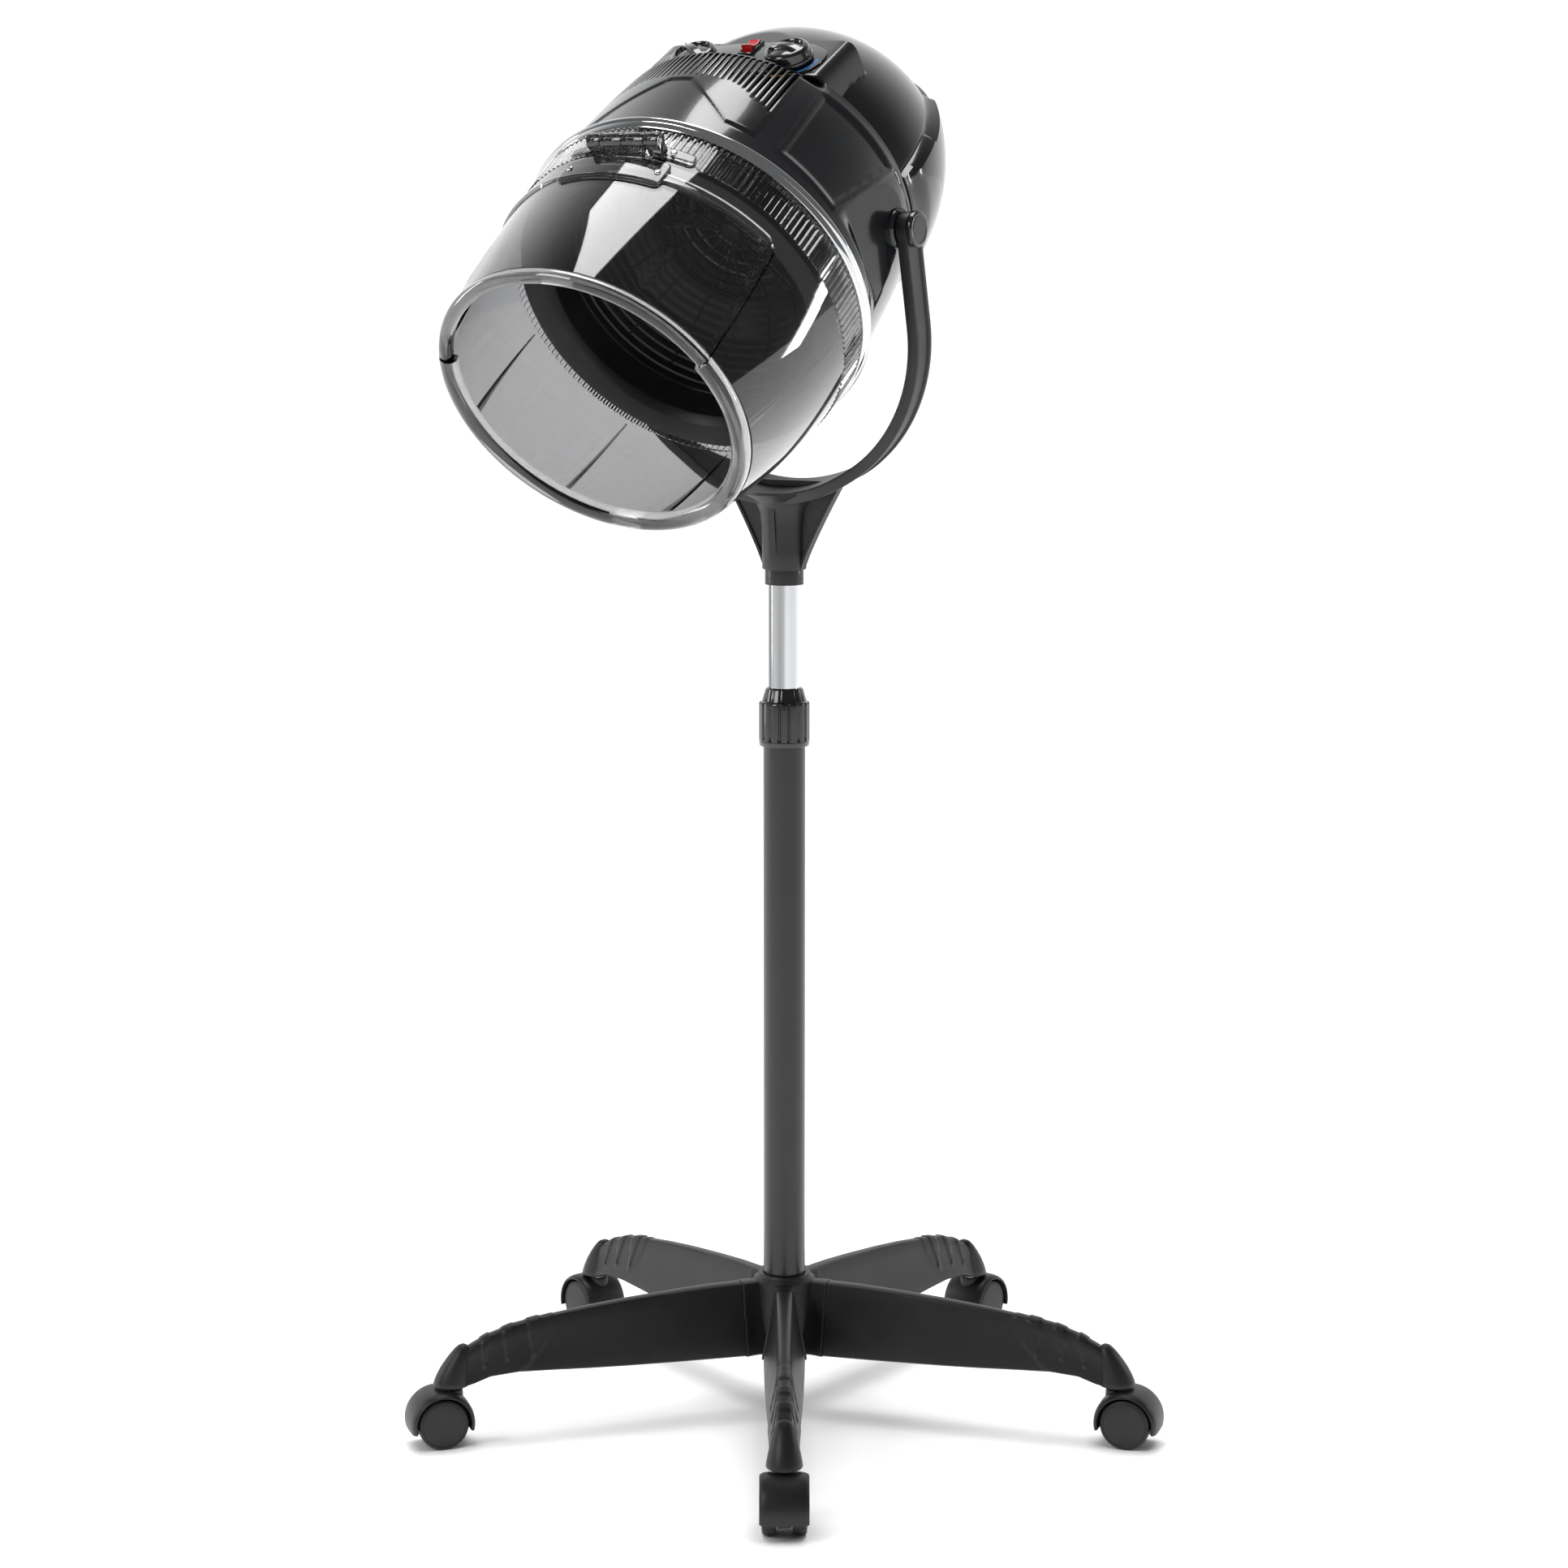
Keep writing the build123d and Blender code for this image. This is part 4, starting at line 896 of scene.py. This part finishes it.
def controls():
    half = [(84, 3.5), (90, 25), (86, 44), (62, 60), (0, 66)]
    outline = rounded_outline(half + [(-x, y) for x, y in reversed(half[:-1])], 9.0, 7)
    panel = [slab(outline, 0.05, 1.55, 0.5)]
    piece("panel_skin", panel, "hood", "panel_black", place=PANEL, nodes=["control_panel"], sharp=30)
    low, high = 1.5, 1.64
    y = along_panel(KNOB_S)
    marks = {"print_blue": [arc_band(DIAL_R, 2.6, -48, 14, low, high)],
             "print_yellow": [arc_band(DIAL_R, 2.6, -112, -54, low, high)],
             "print_red": [arc_band(DIAL_R, 2.6, 150, 206, low, high)]}
    for look, bands in marks.items():
        bands = [moved(band, (TEMPERATURE_U, y, 0)) for band in bands]
        piece("dial_" + look, bands, "hood", "panel_black", place=PANEL, look=look)
    gold = [moved(arc_band(5.2, 0.8, 0, 359.9, low, high), (TEMPERATURE_U - 27, y + 16, 0)),
            moved(arc_band(2.0, 0.7, 0, 359.9, low, high), (TEMPERATURE_U - 27, y + 16, 0))]
    piece("dial_print_gold", gold, "hood", "panel_black", place=PANEL, look="print_gold")
    ticks = []
    for k in range(13):
        turn = 120 + 300.0 * k / 12
        long = 3.4 if k % 2 == 0 else 2.0
        tick = slab([(TICK_R, -0.25), (TICK_R + long, -0.25), (TICK_R + long, 0.25), (TICK_R, 0.25)], low,
                    high, 0.03,
                    1)
        ticks.append(moved(moved(tick, turn=turn), (TIMER_U, y, 0)))
    for k, text in enumerate(("60", "50", "40", "30", "20", "10", "0")):
        turn = math.radians(120 + 300.0 * k / 6)
        ticks += number(text, TIMER_U + DIGIT_R * math.cos(turn), y + DIGIT_R * math.sin(turn), 3.0, low,
                        high)
    for text, dx in (("1", -13), ("0", 13)):
        ticks += number(text, dx, along_panel(ROCKER_S), 3.0, low, high)
    piece("dial_print_white", ticks, "hood", "panel_black", place=PANEL, look="print_white")
    knob("timer_knob_skin", TIMER_U, "timer_knob", "timer_knob", 52.0)
    knob("temperature_knob_skin", TEMPERATURE_U, "temperature_knob", "temperature_knob", 74.0)
    rocker_y = along_panel(ROCKER_S)
    bezel_outer = np.array(rounded_outline([(-7.9, -12.9), (7.9, -12.9), (7.9, 12.9), (-7.9, 12.9)], 1.6, 4))
    bezel_inner = np.array(rounded_outline([(-5.6, -10.6), (5.6, -10.6), (5.6, 10.6), (-5.6, 10.6)], 0.6, 4))
    rows = []
    for outline, height in ((bezel_outer, 1.6), (bezel_outer, 3.0), (bezel_outer * 0.965, 3.6),
                            (bezel_inner * 1.06, 3.6),
                            (bezel_inner, 3.2), (bezel_inner, -6.0), (bezel_inner * 1.1,
                                    -6.0), (bezel_inner * 1.1, 1.6)):
        rows.append(np.column_stack([outline, np.full(len(outline), height)]))
    bezel = loop_grid(np.array(rows), close_rows=True)
    piece("switch_bezel", [moved(bezel, (0, rocker_y, 0))], "hood", "panel_black", place=PANEL,
          nodes=["switch_housing"], sharp=35)
    profile = []
    for yy in np.linspace(-8.6, 8.6, 25):
        profile.append((yy, 4.7 + 2.6 * (abs(yy) / 8.6) ** 1.6))
    profile += [(7.6, 2.0), (6.5, -4.5), (-6.5, -4.5), (-7.6, 2.0)]
    rows = []
    for x, inset in ((-5.2, 0.5), (-4.9, 0.1), (-4.5, 0.0), (4.5, 0.0), (4.9, 0.1), (5.2, 0.5)):
        rows.append([(x, yy * (1 - inset / 12), zz - (inset * 0.6 if zz > 4 else 0)) for yy, zz in profile])
    paddle = loop_grid(np.array(rows), caps=True)
    rock = -10.0
    verts = np.array(paddle[0])
    c, s = math.cos(math.radians(rock)), math.sin(math.radians(rock))
    verts = np.stack([verts[:, 0], verts[:, 1] * c - verts[:, 2] * s, verts[:, 1] * s + verts[:, 2] * c], 1)
    paddle = (verts, paddle[1])
    piece("rocker_skin", [moved(paddle, (0, rocker_y, 0))], "rocker", "red_plastic", place=PANEL,
          nodes=["rocker"], sharp=30)


def screws(name, places, along, seat, body, node):
    """Domed heads with a cross recess."""
    parts = []
    for x in places:
        turn = math.acos(x / TOOTH_R)
        normal = np.array([math.cos(turn), math.sin(turn), 0])
        sideways = np.array([-math.sin(turn), math.cos(turn), 0])
        cols, rows = 48, []
        degrees = np.arange(cols) * 360.0 / cols
        for r, h in ((2.9, 0.0), (3.05, 0.25), (2.9, 0.75), (2.4, 1.25), (1.7, 1.55), (1.6, 1.55), (1.1, 1.6),
                     (0.6, 1.62)):
            cross = (np.abs(((degrees + 45) % 90) - 45) < 13) & (r < 1.65)
            rows.append(polar(np.full(cols, r), degrees, h - 0.85 * cross))
        flat = np.array(rows)
        flat = np.concatenate([flat, np.repeat(np.array([[[0, 0, 0.75]]]), cols, axis=1)])
        local, faces = loop_grid(flat)
        shank = turned([(0, -3), (1.5, -3), (1.5, 0.05), (0, 0.05)], 24)
        for verts, quads in ((local, faces), shank):
            verts = np.array(verts)
            points = normal * (TOOTH_R + seat + verts[:, 2:3]) + sideways * verts[:, 0:1] + np.array([0, 0,
                    1.0]) * (verts[:, 1:2] + along)
            parts.append((points, quads))
    piece(name, parts, body, "steel", nodes=[node], sharp=40)


# ---------------------------------------------------------------- yoke


def yoke():
    reach = (pivot - Vector((0, 0, SADDLE_Z * MM))).length / MM
    middle = YOKE_INNER + YOKE_THICK / 2
    drop = reach - middle
    # The U, from one pivot round to the other.
    points, outward = [], []
    for y in np.linspace(0, -drop, 14)[:-1]:
        points.append(np.array([-middle, y, 0.0]))
        outward.append(np.array([-1.0, 0, 0]))
    for turn in np.radians(np.linspace(180, 360, 73)):
        points.append(np.array([middle * math.cos(turn), -drop + middle * math.sin(turn), 0.0]))
        outward.append(np.array([math.cos(turn), math.sin(turn), 0.0]))
    for y in np.linspace(-drop, 0, 14)[1:]:
        points.append(np.array([middle, y, 0.0]))
        outward.append(np.array([1.0, 0, 0]))
    half_t = YOKE_THICK / 2

    def section(i):
        x = abs(points[i][0])
        low = points[i][1] < -drop
        spread = 14.0 + (13.0 * smooth((105.0 - x) / 62.0) if low else 0.0)
        lip = 1.8
        return [(-spread, -half_t + 1.2), (-spread + 1.2, -half_t), (spread - 1.2, -half_t), (spread,
                -half_t + 1.2),
                (spread, half_t - 1.4), (spread - 0.5, half_t - 0.4), (spread - 1.6, half_t), (spread - 4.4,
                        half_t),
                (spread - 5.4, half_t - lip), (-spread + 5.4, half_t - lip), (-spread + 4.4, half_t),
                (-spread + 1.6, half_t), (-spread + 0.5, half_t - 0.4), (-spread, half_t - 1.4)]

    z_dir = np.array([0, 0, 1.0])
    parts = [swept(points, [z_dir] * len(points), outward, section)]
    for side in (-1, 1):
        boss = turned([(4.2, YOKE_INNER), (14.6, YOKE_INNER), (15.4, YOKE_INNER + 0.8), (15.5,
                YOKE_INNER + 1.6),
                       (15.5, 166.4), (15.2, 167.4), (14.4, 168.0), (4.2, 168.0)], 64)
        verts = np.array(boss[0])
        parts.append((np.stack([side * verts[:, 2], verts[:, 0], verts[:, 1]], 1), boss[1]))
    # Socket and gussets under the saddle.
    lower = []
    swivel = Matrix.Rotation(math.atan2(across.y, across.x), 4, "Z")
    post = [(17.6, 822.0), (20.3, 822.0), (20.9, 823.0), (21.0, 840.0), (21.6, 862.0), (23.2, 876.0), (27.0,
            884.5),
            (33.0, 889.0), (40.0, 893.0), (40.0, 896.0), (17.6, 896.0)]
    lower.append(turned(post, 72))

    def web(outline_low, outline_high, thick, bead):
        """A gusset between two outlines given height by height, with a bead along its free edges."""
        grid = []
        for (x0, z0), (x1, z1) in zip(outline_low, outline_high):
            ring = [(x0, bead, z0), (x0 + 3.0, bead, z0), (x0 + 4.2, thick, z0), (x1 - 4.2, thick, z1),
                    (x1 - 3.0, bead, z1), (x1, bead, z1), (x1, -bead, z1), (x1 - 3.0, -bead, z1), (x1 - 4.2,
                            -thick, z1),
                    (x0 + 4.2, -thick, z0), (x0 + 3.0, -bead, z0), (x0, -bead, z0)]
            grid.append(ring)
        return loop_grid(np.array(grid, float), caps=True)

    steps = np.linspace(0, 1, 20)
    left = [(-20.4 - 44.0 * t ** 1.15, 822.0 + 84.0 * t) for t in steps]
    right = [(20.4 + 44.0 * t ** 1.15, 822.0 + 84.0 * t) for t in steps]
    lower.append(web(left, right, 2.6, 4.2))
    left = [(-19.5 - 7.0 * t, 824.0 + 70.0 * t) for t in steps]
    right = [(19.5 + 9.0 * t, 824.0 + 64.0 * t) for t in steps]
    lower.append(moved(web(left, right, 2.2, 3.4), turn=90))
    lower = [mapped(part, swivel) for part in lower]
    inverse = YOKE.inverted()
    parts += [mapped(part, inverse) for part in lower]
    piece("yoke_skin", parts, "yoke", "black_plastic", place=YOKE, nodes=["yoke"], sharp=34)
    caps = []
    for side in (-1, 1):
        cap = turned([(0, 168.1), (15.8, 168.1), (16.4, 168.6), (16.5, 169.4), (16.5, 172.0), (16.1, 173.2),
                      (15.0, 173.9),
                      (13.4, 174.0), (12.6, 173.9), (12.3, 173.5), (11.9, 173.5), (11.5, 173.9), (0,
                              174.0)], 72)
        verts = np.array(cap[0])
        caps.append((np.stack([side * verts[:, 2], verts[:, 0], verts[:, 1]], 1), cap[1]))
    piece("pivot_cap_skin", caps, "yoke", "black_plastic", place=YOKE, nodes=["pivot_caps"],
          look="collar_black", sharp=30)
    ring = [(17.9, 807.7), (18.2, 808.0), (18.3, 809.0), (18.3, 812.6), (17.9, 813.0), (17.9, 813.8), (18.3,
            814.2),
            (18.3, 820.6), (18.0, 821.8), (15.1, 821.8), (15.1, 807.7)]
    piece("yoke_ring_skin", [turned(ring, 72)], "yoke", "black_plastic", place=ROW, look="collar_black",
          sharp=30)


# ---------------------------------------------------------------- column


def collar():
    profile = [(20.1, 653.8), (22.6, 653.8), (23.5, 654.2), (24.0, 655.2), (24.0, 658.6), (23.7, 659.0),
               (24.0, 659.4),
               (24.0, 661.0), (24.0, 664.0), (24.0, 694.0), (23.8, 695.4), (23.0, 696.3), (21.4,
                       696.6), (20.9, 697.4),
               (18.0, 707.6), (17.4, 708.9), (16.8, 709.4), (15.3, 709.4), (15.3, 706.0), (18.0,
                       694.1), (20.1, 694.1)]

    def flute(r, height, degrees):
        phase = np.abs(((degrees * 16 / 360.0) % 1.0) - 0.5) * 2
        groove = smooth((0.42 - phase) / 0.3)
        zone = 1.0 if 660.5 < height < 696.0 else 0.0
        cone = 0.45 if 696.9 < height < 708.0 else 0.0
        return np.where(r > 17.0, r - 1.5 * groove * zone - cone * groove, r)

    piece("collar_skin", [turned(profile, 288, flute)], "collar", "black_plastic", place=ROW,
          nodes=["height_collar"],
          look="collar_black", sharp=34)


# ---------------------------------------------------------------- base

ARM_KEYS = np.array([(45, 62.0, 132.0, 20.0, 7.6), (75, 62.3, 131.4, 19.6, 7.0), (110, 62.7, 129.4, 19.0,
        6.5), (160, 63.5, 125.6, 17.9, 5.8),
                     (200, 64.6, 121.6, 16.9, 5.4), (236, 66.0, 116.8, 15.6, 5.2), (269, 66.9, 110.9, 14.3,
                             5.2),
                     (296, 64.6, 102.0, 13.2, 5.6), (312, 59.0, 94.0, 12.6, 6.0), (322, 56.6, 87.0, 12.4,
                             6.6)], float)


def arm_part():
    """A tapering arm with a narrow back, hollowed flanks and raised wraps near its tip."""
    radii = np.concatenate([np.linspace(45.4, 180, 46)[:-1], np.linspace(180, 322, 96)])
    keys = ARM_KEYS.T
    grid = []
    for radius in radii:
        low, high, base, top = (np.interp(radius, keys[0], row) for row in keys[1:])
        tall = high - low
        ring = []
        for side in (1, -1):
            steps = np.linspace(0, 1, 26)
            if side < 0:
                steps = steps[::-1]
            for t in steps:
                z = low + 1.6 + (tall - 3.2) * t
                hollow = 1.2 * math.sin(math.pi * min(1.0, t * 1.15)) if t < 0.87 else 0.0
                w = base + (top - base) * t ** 1.35 - hollow
                # Wraps: three raised bands that hang like a V down the flank.
                w += wrap_height(radius, t)
                ring.append((radius, side * w, z))
            if side > 0:
                crown = wrap_height(radius, 1.0)
                for share in (0.8, 0.35, -0.35, -0.8):
                    ring.append((radius, share * top, high + (0.0 if abs(share) < 0.5 else -0.5) + crown))
        ring.append((radius, -base + 2.2, low))
        ring.append((radius, base - 2.2, low))
        grid.append(ring)
    return loop_grid(np.array(grid), caps=True)


def wrap_height(radius, t):
    """Raised wraps: each crosses the back and narrows to a point down the flank."""
    total = 0.0
    for start, end in ((244.0, 259.0), (270.0, 283.0), (293.0, 304.0)):
        centre = (start + end) / 2
        half = (end - start) / 2
        reach = half * (0.25 + 0.75 * smooth(np.float64((t - 0.35) / 0.65)))
        if t < 0.3:
            reach = half * 0.25 * smooth(np.float64(t / 0.3))
        inside = 1 - abs(radius - centre - (1 - t) * 5.0) / max(reach, 0.01)
        total += 1.3 * float(smooth(np.float64(inside * 3.0))) * float(smooth(np.float64((t - 0.25) / 0.12)))
    # One long swelling edge where the plain flank ends.
    edge = 232.0 + 34.0 * (1 - t) ** 1.6
    total += 0.8 * float(smooth(np.float64((radius - edge + 1.5) / 3.0)))
    return total


def tip_part():
    """The cap over the caster's stem: a shoe that leans out from the arm's end."""
    grid = []
    cols = 56
    degrees = np.arange(cols) * 360.0 / cols
    rows = ((56.9, 331.5, 16.4, 15.4), (57.2, 331.5, 17.2, 16.2), (58.2, 331.4, 17.5, 16.6), (62.0, 330.8,
            17.0, 16.0), (68.0, 329.6, 15.6, 14.8),
            (75.0, 327.6, 13.6, 13.2), (82.0, 324.9, 11.2, 11.4), (88.0, 322.4, 8.8, 9.4), (92.0, 320.8, 6.6,
                    7.4),
            (94.6, 319.8, 4.4, 5.2), (95.8, 319.4, 2.0, 2.6))
    for z, centre, rx, ry in rows:
        turn = np.radians(degrees)
        grid.append(np.stack([centre + rx * np.cos(turn), ry * np.sin(turn), np.full(cols, z)], -1))
    return loop_grid(np.array(grid), caps=True)


def hub_part(angles):
    parts = [turned([(20.4, 62.0), (29.0, 62.0), (30.0, 63.0), (30.0, 130.0), (29.2, 132.6), (27.2, 134.0),
                     (25.8, 134.8),
                     (25.4, 137.0), (24.6, 138.0), (21.2, 138.0), (20.4, 137.4)], 120)]
    for angle in angles:
        grid = []
        for radius, flare in ((8.0, 1.0), (24.0, 1.0), (31.0, 0.92), (37.0, 0.98), (42.0, 1.05), (43.6, 1.06),
                              (44.6, 1.04),
                              (45.0, 1.0)):
            base, top, low, high = 20.6 * flare, 8.6 * flare, 61.8, 132.4
            ring = []
            for side in (1, -1):
                steps = np.linspace(0, 1, 20)
                if side < 0:
                    steps = steps[::-1]
                for t in steps:
                    w = base + (top - base) * t ** 1.3 - 1.0 * math.sin(math.pi * t)
                    ring.append((radius, side * w, low + 1.5 + (high - low - 3.0) * t))
                if side > 0:
                    for share in (0.8, 0.3, -0.3, -0.8):
                        ring.append((radius, share * top, high - (0.5 if abs(share) > 0.5 else 0.0)))
            ring.append((radius, -base + 2.2, low))
            ring.append((radius, base - 2.2, low))
            grid.append(ring)
        parts.append(moved(loop_grid(np.array(grid), caps=True), turn=angle))
    return parts


def housing_parts():
    """Fender over the twin wheels, its side lips, the web between the wheels and the stem's boss."""
    centre = STEM_RADIUS + TRAIL
    half = WHEEL_GAP / 2 + WHEEL_WIDTH + 0.9
    spans = np.radians(np.linspace(-14, 194, 61))
    flank = [(-half, 26.4), (-half - 0.5, 27.0), (-half - 0.3, 28.0), (-half + 0.9, 29.1), (-half + 3.4,
            30.1),
             (-half + 7.5, 30.8)]
    profile = flank + [(0, 31.1)] + [(-w, r) for w, r in reversed(flank)] + [(half - 1.6, 26.2), (0, 26.2),
            (-half + 1.6, 26.2)]
    grid = []
    for turn in spans:
        grid.append([(centre + r * math.cos(turn), w, WHEEL_R + r * math.sin(turn)) for w, r in profile])
    parts = [loop_grid(np.array(grid), caps=True)]
    disc = rounded_outline([(x, y) for x, y in arc_points(0, 0, 27.0, -25, 205, 40)] + [(-10, -9), (10, -9)],
                           1.0, 2)
    plate = slab(disc, -6.0, 6.0, 0.5, 2)
    verts = np.array(plate[0])
    parts.append((np.stack([verts[:, 0] + centre, verts[:, 2], verts[:, 1] + WHEEL_R], 1), plate[1]))
    boss = turned([(4.1, 36.0), (9.6, 36.0), (9.6, 50.0), (9.2, 53.0), (8.4, 53.8), (4.1, 53.8)], 48)
    parts.append(moved(boss, (STEM_RADIUS, 0, 0)))
    return parts


def wheel_part(side):
    inner = WHEEL_GAP / 2
    profile = [(3.1, 0), (7.0, 0), (7.2, 1.8), (20.6, 1.8), (20.8, 0.2), (22.8, 0.0), (23.7, 0.5), (24.0,
            1.4), (24.0, 10.6),
               (23.6, 11.7), (22.6, 12.5), (21.4, 12.8), (20.9, 12.5), (20.4, 12.5), (19.9, 12.9), (16.0,
                       13.3),
               (8.0, 13.5), (0.0, 13.5), (0.0, 12.3), (3.1, 12.3)]
    wheel = turned(profile, 96)
    verts = np.array(wheel[0])
    points = np.stack([verts[:, 0] + STEM_RADIUS + TRAIL, side * (inner + verts[:, 2]), verts[:,
            1] + WHEEL_R], 1)
    return points, wheel[1]


def base():
    angles = [FIRST_ARM + 360.0 * i / ARM_COUNT for i in range(ARM_COUNT)]
    piece("hub_skin", hub_part(angles), "stand", "black_plastic", place=ROW, nodes=["base_hub"], sharp=34)
    arm, tip = arm_part(), tip_part()
    for number_, angle in enumerate(angles, 1):
        parts = [moved(arm, turn=angle), moved(tip, turn=angle)]
        piece(f"arm_{number_}_skin", parts, "stand", "black_plastic", place=ROW,
              nodes=[f"base_arm_{number_}"], sharp=34)
        caster = f"caster_{number_}"
        piece(f"{caster}_cover", [moved(p, turn=angle) for p in housing_parts()], caster, "black_plastic",
              place=ROW,
              nodes=[f"{caster}_housing"], sharp=34)
        for word, side in (("left", 1), ("right", -1)):
            piece(f"{caster}_tyre_{word}", [moved(wheel_part(side), turn=angle)], f"{caster}_wheel_{word}",
                  "wheel_black",
                  place=ROW, nodes=[f"{caster}_wheel_{word}"], sharp=30)


# ---------------------------------------------------------------- build

hood_shell()
rear_cover()
trim_ring()
shield()
visor()
hinge()
bowl()
grille()
controls()
screws("base_screw_heads", (-29.0, 53.0), 142.2, 2.6, "hood", "hinge_base_screws")
screws("visor_screw_heads", (-36.0, 51.0), 170.2, 1.7, "visor", "visor_screws")
yoke()
collar()
base()

# The upper tube takes the chrome whose base colour carries painted reflection streaks.
TUBES = {"lower_tube": "pole_black", "upper_tube": "chrome_with_painted_reflections"}
for part in frame["record"]["subparts"]:
    node = frame["nodes"][part["node"]]
    node.data.materials.clear()
    node.data.materials.append(LOOKS[TUBES.get(part["node"], part["material_slot"])])

# ---------------------------------------------------------------- stage, light and camera


def stage():
    mesh = bpy.data.meshes.new("floor")
    size = 60.0
    mesh.from_pydata([(-size, -size, 0), (size, -size, 0), (size, size, 0), (-size, size, 0)], [],
                     [(0, 1, 2, 3)])
    floor = bpy.data.objects.new("floor", mesh)
    bpy.context.scene.collection.objects.link(floor)
    mesh.materials.append(node_material("pale_floor", (0.93, 0.93, 0.93), 0.75, vary=0.004, bump=0.0))
    return floor


def area_light(name, place, target, width, height, power, spread=180.0):
    light = bpy.data.lights.new(name, "AREA")
    light.shape = "RECTANGLE"
    light.size, light.size_y = width, height
    light.energy = power
    light.spread = math.radians(spread)
    lamp = bpy.data.objects.new(name, light)
    bpy.context.scene.collection.objects.link(lamp)
    lamp.location = place
    lamp.rotation_euler = (Vector(target) - Vector(place)).to_track_quat("-Z", "Y").to_euler()


def lights(floor):
    """A studio bright behind and dim in front: a softbox overhead, strips at the sides, a lit floor."""
    bpy.context.scene.view_settings.view_transform = "Standard"
    world = bpy.data.worlds.new("studio")
    bpy.context.scene.world = world
    world.use_nodes = True
    nodes, links = world.node_tree.nodes, world.node_tree.links
    place = nodes.new("ShaderNodeTexCoord")
    split = nodes.new("ShaderNodeSeparateXYZ")
    links.new(place.outputs["Generated"], split.inputs["Vector"])
    glow = nodes.new("ShaderNodeMapRange")
    glow.inputs["From Min"].default_value = 0.1
    glow.inputs["From Max"].default_value = 0.9
    glow.inputs["To Min"].default_value = 0.14
    glow.inputs["To Max"].default_value = 1.08
    glow.interpolation_type = "SMOOTHSTEP"
    links.new(split.outputs["Y"], glow.inputs["Value"])
    back = nodes["Background"]
    back.inputs["Color"].default_value = (0.985, 0.99, 1.0, 1)
    links.new(glow.outputs["Result"], back.inputs["Strength"])
    area_light("softbox_top", (-0.15, 0.32, 3.5), (0, 0, 1.2), 1.15, 1.2, 30)
    area_light("fill_left", (-2.6, -2.2, 2.6), (0, 0, 1.0), 1.2, 1.6, 45)
    area_light("strip_right", (2.9, 0.55, 1.25), (0, 0, 1.2), 0.22, 0.9, 9)
    area_light("strip_left", (-2.7, 0.5, 1.2), (0, 0, 0.9), 0.3, 1.6, 14)
    wash = bpy.data.lights.new("floor_wash", "SUN")
    wash.energy = 3.0
    wash.angle = math.radians(60.0)
    lamp = bpy.data.objects.new("floor_wash", wash)
    bpy.context.scene.collection.objects.link(lamp)
    lit = bpy.data.collections.new("lit_floor")
    lit.objects.link(floor)
    lamp.light_linking.receiver_collection = lit


def camera():
    data = bpy.data.cameras.new("camera")
    data.lens = LENS
    data.sensor_width = SENSOR
    cam = bpy.data.objects.new("camera", data)
    bpy.context.scene.collection.objects.link(cam)
    cam.location = CAMERA_PLACE
    cam.rotation_euler = (math.radians(CAMERA_TILT), 0, 0)
    bpy.context.scene.camera = cam


lights(stage())
camera()
